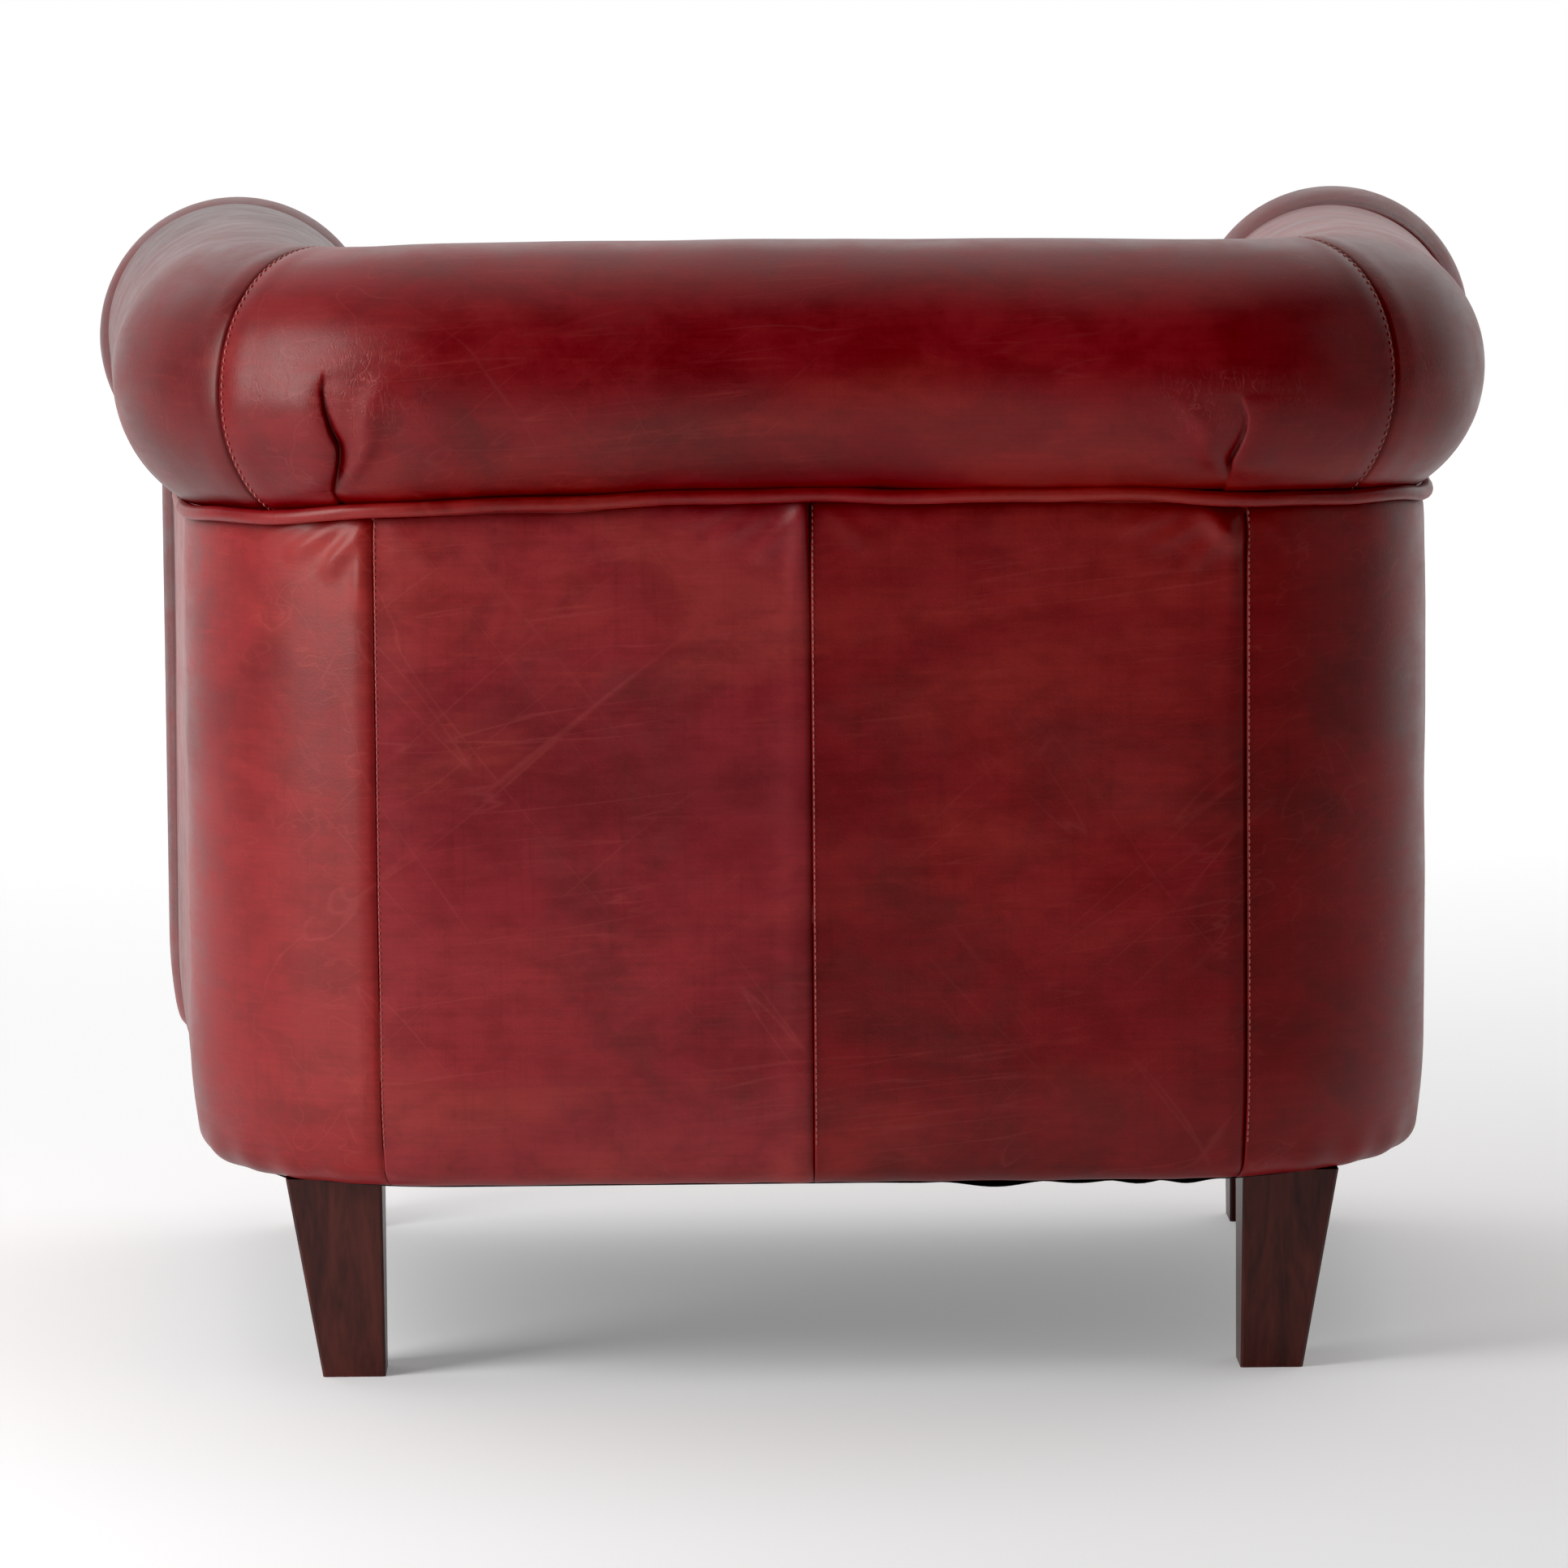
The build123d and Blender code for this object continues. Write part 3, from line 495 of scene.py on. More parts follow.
def stitch_row(name, line, out, pitch=0.0040, length=0.0028, size=0.00042):
    """Row of single thread stitches along a line of points; each dips into the leather at both ends."""
    line, out = np.asarray(line, float), np.asarray(out, float)
    steps = np.hypot.reduce(np.diff(line, axis=0), axis=1)
    run = np.concatenate([[0], np.cumsum(steps)])
    count = int(run[-1] / pitch)
    places, faces = [], []
    rings, sides = 5, 6
    bends = np.linspace(-1, 1, rings)
    for n in range(count):
        centre = (n + 0.5) * pitch
        at = centre + bends * length / 2
        middle = np.stack([np.interp(at, run, line[:, k]) for k in range(3)], 1)
        up = np.array([np.interp(centre, run, out[:, k]) for k in range(3)])
        up /= np.linalg.norm(up)
        along = middle[-1] - middle[0]
        along /= np.linalg.norm(along)
        across = np.cross(along, up)
        middle = middle + up * (size * (0.75 - 1.5 * bends**2))[:, None]
        base = len(places)
        for centre_point in middle:
            for a in range(sides):
                angle = 2 * np.pi * a / sides
                places.append(centre_point + size * (across * cos(angle) + up * sin(angle)))
        faces += ring_faces(rings, sides, base, turned=True)
        faces.append(tuple(base + a for a in reversed(range(sides))))
        faces.append(tuple(base + (rings - 1) * sides + a for a in range(sides)))
    piece = put_mesh(name, [tuple(p) for p in places], faces)
    piece.data.materials.append(thread)
    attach(piece, "chair")


skirt_radius = 0.320
skirt_turn = radians(10)
hem_radius = 0.018
hem_end = 0.048
hem_height = 0.1258
panel_thickness = 0.002
skirt_top = hem_height + skirt_radius * sin(skirt_turn) + hem_radius * (1 - sin(skirt_turn))


def panel_outline(top, rows):
    """Depth, height and outward direction down an outside panel from a top height to its hem."""
    wall_part = np.linspace(0, 1, rows)
    upright = top - (top - skirt_top) * wall_part
    under = np.linspace(0, skirt_turn, 40)[1:]
    edge = np.linspace(skirt_turn, radians(90), 16)[1:]
    corner_depth = skirt_radius * (1 - cos(skirt_turn))
    corner_height = skirt_top - skirt_radius * sin(skirt_turn)
    depth = np.concatenate([
        np.zeros(rows),
        skirt_radius * (1 - np.cos(under)),
        corner_depth + hem_radius * (cos(skirt_turn) - np.cos(edge)),
        np.linspace(corner_depth + hem_radius * cos(skirt_turn), hem_end, 6)[1:],
    ])
    height = np.concatenate([
        upright,
        skirt_top - skirt_radius * np.sin(under),
        corner_height - hem_radius * (np.sin(edge) - sin(skirt_turn)),
        np.full(5, hem_height),
    ])
    tilt = np.concatenate([np.zeros(rows), under, edge, np.full(5, radians(90))])
    return depth, height, tilt


side_seam = 0.259
seam_places = {"left": side_seam, "middle": 0.0, "right": -side_seam}
seam_pulls = {"left": 1.0, "middle": 0.8, "right": 0.7}
pucker_folds = (
    ((0.003, -0.002), (0.034, -0.034), 0.0055, 0.0026),
    ((0.012, 0.002), (0.060, -0.024), 0.0050, 0.0022),
    ((0.030, 0.003), (0.080, -0.013), 0.0042, 0.0016),
    ((0.005, 0.002), (0.009, -0.060), 0.0060, 0.0017),
    ((-0.006, 0.001), (-0.040, -0.030), 0.0060, 0.0008),
)
pulled_start, pulled_end, pulled_drop = -0.229, -0.256, 0.028
under_piping = 0.004
hem_reach = 0.03


def seam_head(s):
    """Height just under the piping where a seam's stitches and puckers start."""
    return float(piping_height(np.array(s))) - 0.006


def panel_relief(s, z):
    """Rise of the outside leather: slack over the wadding, seam folds and puckers under the piping; also
    the mark of painted shade in the seams and under the piping.
    """
    rise = 0.0011 * undulation(s, z, 0.16, 3) + 0.00055 * undulation(s, z, 0.055, 4)
    groove_shade = np.zeros_like(s)
    for place in seam_places.values():
        beside = s - place
        rise += np.where(beside < 0, 0.0009, -0.0001) * np.exp(-np.abs(beside) / 0.009)
        rise -= 0.0013 * bell(beside, np.where(beside < 0, 0.0007, 0.0024))
        rise += np.where(beside >= 0, 0.0010, 0) * bell(beside - 0.010, 0.009)
        # Painted shadow in each seam's fold, carried by the groove mark.
        shadow = 0.85 * bell(beside, 0.0008)
        groove_shade = np.maximum(groove_shade, np.where(beside >= -0.0002, shadow, 0))
    top = piping_height(s) - under_piping
    below = top - z
    rise -= 0.0016 * np.exp(-below / 0.006)
    # Painted shade just under the piping.
    groove_shade = np.maximum(groove_shade, 0.8 * np.exp(-below / 0.0022))
    puffed = np.where(s > 0, 0.0046 * (1 - bell(s, 0.0022)), 0)
    rise += puffed * bell(s - 0.0015, 0.0095) * bell(below, 0.028)
    for side_word, place in seam_places.items():
        foot = np.array([place, seam_head(place)])
        for start, end, width, height in pucker_folds:
            rise += ridge(s, z, foot + start, foot + end, width, height * seam_pulls[side_word])
    pulled_top = piping_height(np.array(pulled_start)) - under_piping
    rise += ridge(s, z, (pulled_start, pulled_top), (pulled_end, pulled_top - pulled_drop), 0.0075, 0.0044)
    hem = hem_height + hem_reach - z
    rise += 0.0011 * np.clip(hem / hem_reach, 0, 1) * np.sin(s * 120 + 2.2 * np.sin(s * 19))
    return rise, np.clip(groove_shade, 0, 1)


def partway(start, end, part, depth):
    """Wall distance a part of the way to an end, and at it; an end of None is the arm front plane."""
    last = np.sign(start) * wall_end(depth) if end is None else np.full_like(depth, end)
    return start + part * (last - start), last


def outside_panel(name, start, end, columns, rows=104):
    """One outside panel between two wall distances."""
    even = np.linspace(0, 1, columns)
    share = 0.22 * even + 0.78 * (0.5 - 0.5 * np.cos(np.pi * even))
    outline, marks = [], []
    for part in share:
        s_mid, _ = partway(start, end, part, 0.0)
        depth, height, tilt = panel_outline(float(panel_height(np.array(s_mid))), rows)
        s, _ = partway(start, end, part, depth)
        rise, groove_shade = panel_relief(s, height)
        rise = rise * np.cos(tilt)
        out_depth = depth - rise * np.cos(tilt)
        out_height = height - rise * np.sin(tilt)
        in_depth = depth + panel_thickness * np.cos(tilt)
        in_height = height + panel_thickness * np.sin(tilt)
        around_s = np.concatenate([s, s[::-1]])
        around_depth = np.concatenate([out_depth, in_depth[::-1]])
        around_height = np.concatenate([out_height, in_height[::-1]])
        x, y = wall_place(around_s, around_depth)
        outline.append(np.stack([x, y, around_height], 1))
        marks.append(np.concatenate([groove_shade, np.zeros_like(groove_shade)]))
    return closed_sweep(name, np.array(outline), {"groove_shade": np.array(marks)})


# The left back and left side panels get hide copies with painted light in their colour, the right side
# panel a copy with painted shade.
for name, node_name, start, end, columns, word in (
    ("outside_back_left", "back_left_panel", 0.0, side_seam, 120, "hide_back_left"),
    ("outside_back_right", "back_right_panel", 0.0, -side_seam, 120, "hide_back_right"),
    ("outside_side_left", "left_side_panel", side_seam, None, 260, "hide_bright"),
    ("outside_side_right", "right_side_panel", -side_seam, None, 260, "hide_dark"),
):
    panel = outside_panel(name, start, end, columns)
    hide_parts(node_name)
    in_hide(panel, word)

stitch_inset = 0.0014
stitch_foot = hem_height + 0.022
for side_word, place in seam_places.items():
    heights = np.linspace(seam_head(place), stitch_foot, 160)
    below = np.clip(skirt_top - heights, 0, skirt_radius)
    depth = skirt_radius - np.sqrt(skirt_radius**2 - below**2)
    beside = np.full_like(heights, place - stitch_inset)
    rise, _ = panel_relief(beside, heights)
    x, y = wall_place(beside, depth - rise)
    nx, ny = wall_out(beside)
    stitch_row(f"seam_stitches_{side_word}", np.stack([x, y, heights], 1), np.stack([nx, ny, 0 * nx], 1))

# Piping: a leather-covered cord sewn into the joint of roll and outside panels, all the way round.
# It hangs a little lower at the corners and is never quite even.
piping_columns = 520
piping_around = 14
piping_reach = wall_end(-piping_radius)
piping_s = np.linspace(-piping_reach, piping_reach, piping_columns)
piping_x, piping_y = wall_place(piping_s, piping_depth(piping_s))
piping_line = np.stack([piping_x, piping_y, piping_height(piping_s)], 1)
piping_run = np.gradient(piping_line, axis=0)
piping_run /= np.linalg.norm(piping_run, axis=1)[:, None]
nx, ny = wall_out(piping_s)
piping_out = np.stack([nx, ny, 0 * nx], 1)
piping_over = np.cross(piping_run, piping_out)
piping_rings = []
for a in np.linspace(0, 2 * np.pi, piping_around, endpoint=False):
    size = piping_radius * (1 + 0.05 * undulation(piping_s, piping_s * 0 + a, 0.02, 11))
    piping_rings.append(piping_line + size[:, None] * (piping_out * cos(a) + piping_over * sin(a)))
piping = closed_sweep("roll_piping_cord", np.stack(piping_rings, 1))
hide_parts("roll_piping")
# The piping gets the hide copy with painted light in its colour.
in_hide(piping, "hide_bright")

# Back cover: one hide from under the outside of the roll, over it and down the inside back, pulled
# over foam. It is gathered under the roll with a deep pleat near each corner and sewn to the arms.
corner_seam = 0.331
tack_depth = 0.0106
belly_reach, belly_height, belly_radius, waist_radius = 0.138, 0.380, 0.420, 0.060
foam_back = 0.0402
cover_foot = 0.2616


def scroll_line(roll, roll_d, roll_z, waist, belly_out, start_depth, foot, rows):
    """Over a roll, through a hollow waist and down a belly: depth, height and outward direction."""
    belly_d = belly_out - belly_radius
    gap_d, gap_z = belly_d - roll_d, belly_height - roll_z
    gap = sqrt(gap_d**2 + gap_z**2)
    reach, far = roll + waist, belly_radius + waist
    bend = acos((reach**2 + gap**2 - far**2) / (2 * reach * gap))
    waist_angle = np.arctan2(gap_z, gap_d) + bend
    waist_d, waist_z = roll_d + reach * cos(waist_angle), roll_z + reach * sin(waist_angle)
    belly_angle = np.arctan2(waist_z - belly_height, waist_d - belly_d)
    foot_angle = np.arcsin((foot - belly_height) / belly_radius)
    start_angle = 2 * np.pi - acos((start_depth - roll_d) / roll)
    over = np.linspace(start_angle, waist_angle, rows[0])
    hollow = np.linspace(np.pi + waist_angle, np.pi + belly_angle, rows[1])[1:]
    down = np.linspace(belly_angle, foot_angle, rows[2])[1:]
    arcs = (
        (roll_d, roll_z, roll, over),
        (waist_d, waist_z, waist, hollow),
        (belly_d, belly_height, belly_radius, down),
    )
    depth = np.concatenate([d + radius * np.cos(angle) for d, _, radius, angle in arcs])
    height = np.concatenate([z + radius * np.sin(angle) for _, z, radius, angle in arcs])
    out_d = np.concatenate([np.cos(over), -np.cos(hollow), np.cos(down)])
    out_z = np.concatenate([np.sin(over), -np.sin(hollow), np.sin(down)])
    return depth, height, out_d, out_z


def wall_outline(s):
    """Padded wall in section at one wall distance: depth, height, outward direction and length along."""
    roll = float(roll_radius(s)), float(roll_depth(s)), float(roll_height(s))
    section = scroll_line(*roll, waist_radius, belly_reach, tack_depth, cover_foot, (150, 24, 110))
    steps = np.hypot(np.diff(section[0]), np.diff(section[1]))
    return *section, np.concatenate([[0], np.cumsum(steps)])


pleats = {"left": (0.2715, 1.0, 0.0066), "right": (-0.2445, -1.0, 0.0050)}
pleat_steps = (0.030, 0.045, 0.055, 0.065, 0.075, 0.088, 0.100, 0.112)
pleat_wander = {
    "left": (0.0061, 0.0012, -0.0018, -0.0034, -0.0007, 0.0013, 0.0017, -0.0003),
    "right": (-0.0001, -0.0003, 0.0021, 0.0043, 0.0041, -0.0004, -0.0029, -0.0029),
}
pleat_top = {"left": 0.109, "right": 0.088}
piping_line_along = 0.028


def pleat_fold(s, along, side_word):
    """Deep gathering pleat at the foot of the roll: a puffed lip laid over a hollow, and a pulled ridge."""
    place, lean, deep = pleats[side_word]
    up = (along - piping_line_along) / (pleat_top[side_word] - piping_line_along)
    beside = (s - place) * lean - np.interp(along, pleat_steps, pleat_wander[side_word])
    foot = 0.22 + 0.78 * np.clip(up / 0.22, 0, 1)
    live = np.sqrt(np.clip(1 - up, 0, 1)) * foot
    outer, inner = np.maximum(beside, 0), np.minimum(beside, 0)
    lip = deep * (0.75 - 0.60 * np.exp(-outer / 0.0045)) * bell(outer, 0.024)
    hollow = -deep * np.exp(inner / 0.0095)
    over = 0.5 + 0.5 * np.tanh(beside / 0.0007)
    pulled = np.clip(1 - np.abs(up - 0.45) / 0.60, 0, 1) * foot
    ridge_line = beside + 0.003 + 0.028 * up
    rise = live * (over * lip + (1 - over) * hollow)
    rise += 0.42 * deep * pulled * bell(ridge_line, 0.0062)
    rise -= 0.16 * deep * pulled * bell(ridge_line + 0.016, 0.010)
    slide = -lean * 0.30 * deep * live * over * bell(outer, 0.0060)
    # Painted shade: a dark line along the fold, under the lip.
    dark = np.clip(1.1 * live, 0, 0.9) * bell(beside + 0.0005, 0.0010)
    crease = bell(beside + 0.022, 0.019) * bell(up - 0.85, 0.30)
    outside = 0.5 * bell(beside - 0.026, 0.014) * bell(up - 1.0, 0.2)
    fanned = 0.9 * bell(beside, 0.013) * bell(up - 1.12, 0.13)
    return rise, slide, dark, np.maximum(np.maximum(crease, outside), fanned)


def wall_relief(s, along, seam_beside):
    """Rise of the roll and inside wall leather, with the painted shade of its pleat folds, roll foot and
    corner seams, and its creased places.
    """
    rise = 0.0013 * undulation(s, along, 0.15, 21) + 0.0006 * undulation(s, along, 0.05, 22)
    rise += 0.0009 * undulation(s, along * 0.35, 0.032, 23) * np.exp(-along / 0.07)
    # Painted shade along the foot of the roll, next to the piping.
    groove_shade = bell(along - 0.004, 0.005) * 0.7
    crease = np.zeros_like(rise)
    slide = np.zeros_like(rise)
    for side_word in pleats:
        fold, slid, dark, creased = pleat_fold(s, along, side_word)
        rise += fold
        slide += slid
        groove_shade = np.maximum(groove_shade, dark)
        crease = np.maximum(crease, creased)
    tucked = 0.12 + 0.88 * np.clip((along - piping_line_along) / 0.020, 0, 1)
    rise -= 0.0012 * tucked * np.exp(-np.abs(seam_beside) / 0.0030)
    rise += 0.0005 * bell(np.abs(seam_beside) - 0.011, 0.007)
    # Painted shade in the corner seam.
    groove_shade = np.maximum(groove_shade, 0.28 * bell(seam_beside, 0.0010))
    rubbed = np.clip(undulation(s, along, 0.03, 24), 0, 1)
    crease = np.maximum(crease, 0.35 * np.exp(-np.abs(seam_beside) / 0.02) * rubbed)
    return rise, slide, groove_shade, np.clip(crease, 0, 1)


ring_low, ring_high, ring_in = 0.5490, 0.5676, 0.0642
foot_rows = 12


def padded_wall(name, start, end, share):
    """Closed padded wall between two wall distances."""
    places, groove_shades, creases = [], [], []
    for part in share:
        s_mid, _ = partway(start, end, part, 0.05)
        depth, height, out_d, out_z, along = wall_outline(s_mid)
        s, last = partway(start, end, part, depth)
        seam_beside = np.abs(s) - corner_seam
        rise, slide, groove_shade, crease = wall_relief(s, along, seam_beside)
        if end is None:
            rise -= 0.0030 * np.exp(-np.abs(np.abs(s) - np.abs(last)) / 0.006)
            # Painted shade in the seam where the arm meets its front.
            groove_shade = np.maximum(groove_shade, bell(np.abs(s) - np.abs(last), 0.0018))
        rise[-foot_rows:] *= np.linspace(1, 0, foot_rows)
        back_d = np.array([foam_back, foam_back, ring_in, ring_in, tack_depth])
        back_z = np.array([cover_foot, ring_low, ring_low, ring_high, ring_high])
        back_s, _ = partway(start, end, part, back_d)
        around_s = np.concatenate([s + slide, back_s])
        x, y = wall_place(around_s, np.concatenate([depth + rise * out_d, back_d]))
        places.append(np.stack([x, y, np.concatenate([height + rise * out_z, back_z])], 1))
        groove_shades.append(np.concatenate([groove_shade, np.zeros_like(back_d)]))
        creases.append(np.concatenate([crease, np.zeros_like(back_d)]))
    return closed_sweep(name, np.array(places), {"groove_shade": np.array(groove_shades), "crease": np.array(creases)})


back_stations = [np.linspace(-corner_seam, corner_seam, 250)]
back_stations += [place + np.linspace(-0.026, 0.022, 80) for place, _, _ in pleats.values()]
back_stations = np.unique(np.round(np.concatenate(back_stations), 4))
back_share = (back_stations + corner_seam) / (2 * corner_seam)
back_share[0], back_share[-1] = 0.0, 1.0
back_wall = padded_wall("back_and_roll", -corner_seam, corner_seam, back_share)
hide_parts("back_cover", "back_foam")
in_hide(back_wall, "hide")

# Arm covers: the same roll and inside wall carried on to the arm fronts, where the roll is fullest.
# The corner seam is turned in and top-stitched on the back side.
corner_stitch_inset = 0.0024
tucked_rows = 4
# Both arms get hide copies with painted shade in their colour.
for side_word, side, word in (("left", 1.0, "hide_arm"), ("right", -1.0, "hide_dark")):
    arm = padded_wall(f"{side_word}_arm_and_roll", side * corner_seam, None, np.linspace(0, 1, 210))
    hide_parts(f"{side_word}_arm_cover", f"{side_word}_arm_foam")
    in_hide(arm, word)

for side_word, side in (("left", 1.0), ("right", -1.0)):
    depth, height, out_d, out_z, along = wall_outline(side * (corner_seam - corner_stitch_inset))
    beside = np.full_like(depth, side * (corner_seam - corner_stitch_inset))
    rise, _, _, _ = wall_relief(beside, along, np.full_like(depth, -corner_stitch_inset))
    x, y = wall_place(beside, depth + rise * out_d)
    nx, ny = wall_out(beside)
    line = np.stack([x, y, height + rise * out_z], 1)[tucked_rows:]
    out = np.stack([-nx * out_d, -ny * out_d, out_z], 1)[tucked_rows:]
    stitch_row(f"corner_stitches_{side_word}", line, out, pitch=0.0050, length=0.0034, size=0.00055)

# Arm fronts: padded scroll-shaped facings, leather over foam and a plywood board, tacked on last so
# that a round seam shows where they meet the arm. They stand a little proud of the roll.
facing_scrolls = {1.0: (0.0945, 0.046, 0.6975), -1.0: (0.0935, 0.050, 0.6990)}
facing_side = -0.008
facing_belly = 0.1395
facing_foot = 0.300
facing_waist = 0.052
facing_seam = 0.0220
facing_middle, facing_half = 0.055, 0.085


def facing_outline(scroll_radius, scroll_depth, scroll_top):
    """Closed scroll outline as depth and height: up the outer side, over the scroll, down the inside."""
    scroll = scroll_radius, scroll_depth, scroll_top - scroll_radius
    rows = (120, 20, 60)
    depth, height, _, _ = scroll_line(*scroll, facing_waist, facing_belly, facing_side, facing_foot, rows)
    skirt_depth, skirt_height, _ = panel_outline(height[0], 40)
    keep = skirt_depth < hem_end - 0.004
    skirt_depth, skirt_height = skirt_depth[keep] + facing_side, skirt_height[keep]
    inner = depth[-1]
    foot = [(inner, 0.2), (inner, hem_height + 0.012), (inner - 0.012, hem_height)]
    points = list(zip(depth, height)) + foot + list(zip(skirt_depth, skirt_height))[::-1][:-1]
    return np.array(points)


facing_levels = [
    (0.0320, 0.0130), (0.0190, 0.0080), (0.0080, 0.0037), (-0.0025, 0.0013), (-0.0160, 0.0),
    (-0.0280, 0.0008), (-0.036, 0.0040), (-0.0415, 0.0090), (-0.0445, 0.0150),
]


def settle(piece):
    """Makes a piece's modifiers permanent."""
    made = bpy.data.meshes.new_from_object(piece.evaluated_get(bpy.context.evaluated_depsgraph_get()))
    old = piece.data
    piece.modifiers.clear()
    piece.data = made
    bpy.data.meshes.remove(old)


def remesh(piece, size):
    """Lays even faces of one size over a piece."""
    even = piece.modifiers.new("even", "REMESH")
    even.mode = "VOXEL"
    even.voxel_size = size


def points_of(mesh):
    """All points of a mesh as rows of x, y and z."""
    places = np.empty(len(mesh.vertices) * 3)
    mesh.vertices.foreach_get("co", places)
    return places.reshape(-1, 3)


def signed_area(edge):
    """Area inside a closed line of points, below 0 where the line runs clockwise."""
    following = np.roll(edge, -1, axis=0)
    return float(0.5 * np.sum(edge[:, 0] * following[:, 1] - following[:, 0] * edge[:, 1]))


def directions(edge):
    """Direction of a closed line at each of its points."""
    ahead = np.roll(edge, -1, axis=0) - np.roll(edge, 1, axis=0)
    return ahead / np.hypot(ahead[:, 0], ahead[:, 1])[:, None]


def facing(name, side):
    """Padded arm front on one side: rings of the scroll outline, remeshed evenly and puffed out."""
    outline = facing_outline(*facing_scrolls[side])
    x0 = half_back + (back_y - front_y) * flare
    closed = np.concatenate([outline, outline[:1]])
    run = np.concatenate([[0], np.cumsum(np.hypot(*np.diff(closed, axis=0).T))])
    even_run = np.linspace(0, run[-1], 300, endpoint=False)
    ring = np.stack([np.interp(even_run, run, closed[:, k]) for k in range(2)], 1)
    ahead = directions(ring)
    inward = np.stack([-ahead[:, 1], ahead[:, 0]], 1)
    if signed_area(ring) < 0:
        inward = -inward
    rings = []
    for forward, inset in facing_levels:
        points = ring + inward * inset
        for _ in range(int(inset / 0.0008)):
            points = 0.25 * np.roll(points, 1, axis=0) + 0.5 * points + 0.25 * np.roll(points, -1, axis=0)
        rings.append([(side * (x0 - d), front_y + forward, z) for d, z in points])
    piece = closed_sweep(name, np.array(rings))
    remesh(piece, 0.0040)
    soft = piece.modifiers.new("soft", "SMOOTH")
    soft.iterations = 5
    soft.factor = 0.5
    settle(piece)
    mesh = piece.data
    co = points_of(mesh)
    inside = np.clip((front_y - 0.02 - co[:, 1]) / 0.024, 0, 1)
    centre = x0 - facing_middle
    round_face = np.clip(1 - ((np.abs(co[:, 0]) - centre) / facing_half) ** 2, 0, 1)
    co[:, 1] -= inside * (0.005 * round_face + 0.0008 * undulation(co[:, 0], co[:, 2], 0.06, 31))
    mesh.vertices.foreach_set("co", co.reshape(-1))
    # Painted shade in the round seam between the facing and the arm.
    seam = 0.5 * bell(front_y + facing_seam - co[:, 1], 0.0022)
    set_marks(mesh, {"groove_shade": seam})
    mesh.polygons.foreach_set("use_smooth", [True] * len(mesh.polygons))
    mesh.update()
    return piece


for side_word, side in (("left", 1.0), ("right", -1.0)):
    front = facing(f"{side_word}_arm_front", side)
    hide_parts(f"{side_word}_facing_cover", f"{side_word}_facing_foam")
    in_hide(front, "hide")

# Front border: leather over a foam strip on the front rail, between the arm fronts and under the
# cushion. It turns back over the rail and is stapled under the base.
border_face = -0.356
border_top = 0.2876
border_half = 0.2886
border_return = -0.318
border_corner = 0.016
border_tuck = front_y + 0.02
rail_face = front_y - 0.0003
border_skin = 0.0022


def border_outline():
    """Closed outline of the padded border in depth (y) and height."""
    low, high = hem_height, border_top
    turn_up = np.linspace(radians(180), radians(90), 14)
    turn_in = np.linspace(radians(270), radians(180), 14)
    y = [border_tuck, *(border_face + border_corner + border_corner * np.cos(turn_in))]
    z = [low, *(low + border_corner + border_corner * np.sin(turn_in))]
    face = np.linspace(low + border_corner, high - border_corner, 60)[1:-1]
    y += [border_face] * len(face)
    z += list(face)
    y += list(border_face + border_corner + border_corner * np.cos(turn_up))
    z += list(high - border_corner + border_corner * np.sin(turn_up))
    y += [border_return, border_return, rail_face, rail_face, border_tuck]
    z += [high, cover_foot, cover_foot, low + border_skin, low + border_skin]
    return np.array(y), np.array(z)


border_y, border_z = border_outline()
border_x = np.linspace(-border_half, border_half, 170)
border_places = np.zeros((len(border_x), len(border_y), 3))
on_face = bell(border_y - border_face, 0.012)
for column, x in enumerate(border_x):
    end_draw = np.clip((border_half - abs(x)) / 0.02, 0, 1) ** 0.5
    puff = 0.004 * np.sin(np.clip((border_z - hem_height) / (border_top - hem_height), 0, 1) * np.pi)
    puff = puff * end_draw + 0.0009 * undulation(np.full_like(border_z, x), border_z, 0.07, 41)
    border_places[column, :, 0] = x
    border_places[column, :, 1] = border_y - on_face * (puff - 0.003 * (1 - end_draw))
    border_places[column, :, 2] = border_z
border = closed_sweep("front_border", border_places)
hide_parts("front_border_cover", "front_border_foam")
in_hide(border, "hide")

# Dust cover: black non-woven cloth stapled under the frame. It sags a little between its staples and
# its edge puckers, so bits of it peep out under the back.
bottom_height = 0.1250
cloth_inset = 0.030
cloth_thickness = 0.0007
dust_gap, dust_dip = 0.0010, 0.006


def seat_edge(depth, front, count):
    """Points round a seat-shaped outline a depth inside the leather line, closed along the front."""
    reach = corner_end + (wall_place(corner_end, depth)[1] - front) / cos(flare_angle)
    s = np.linspace(-reach, reach, count)
    x, y = wall_place(s, depth)
    return np.stack([x, y], 1)


def cloth_disc(name, edge, rings, height):
    """Sheet that fills an edge line by rings drawn towards its middle; height gives each point's z."""
    middle = np.array([0.0, edge[:, 1].mean()])
    shares = np.linspace(1, 0, rings + 1)[:-1]
    ring_points = [middle + share * (edge - middle) for share in shares]
    flat = np.concatenate(ring_points + [middle[None]])
    depth_in = np.concatenate([np.full(len(edge), 1 - share) for share in shares] + [np.ones(1)])
    places = np.stack([flat[:, 0], flat[:, 1], height(flat, depth_in)], 1)
    n = len(edge)
    faces = ring_faces(rings, n, turned=True)
    last = rings * n
    faces += [(last - n + i, last - n + (i + 1) % n, last) for i in range(n)]
    piece = put_mesh(name, places.tolist(), faces)
    thick = piece.modifiers.new("thick", "SOLIDIFY")
    thick.thickness = cloth_thickness
    thick.offset = 0
    settle(piece)
    return piece


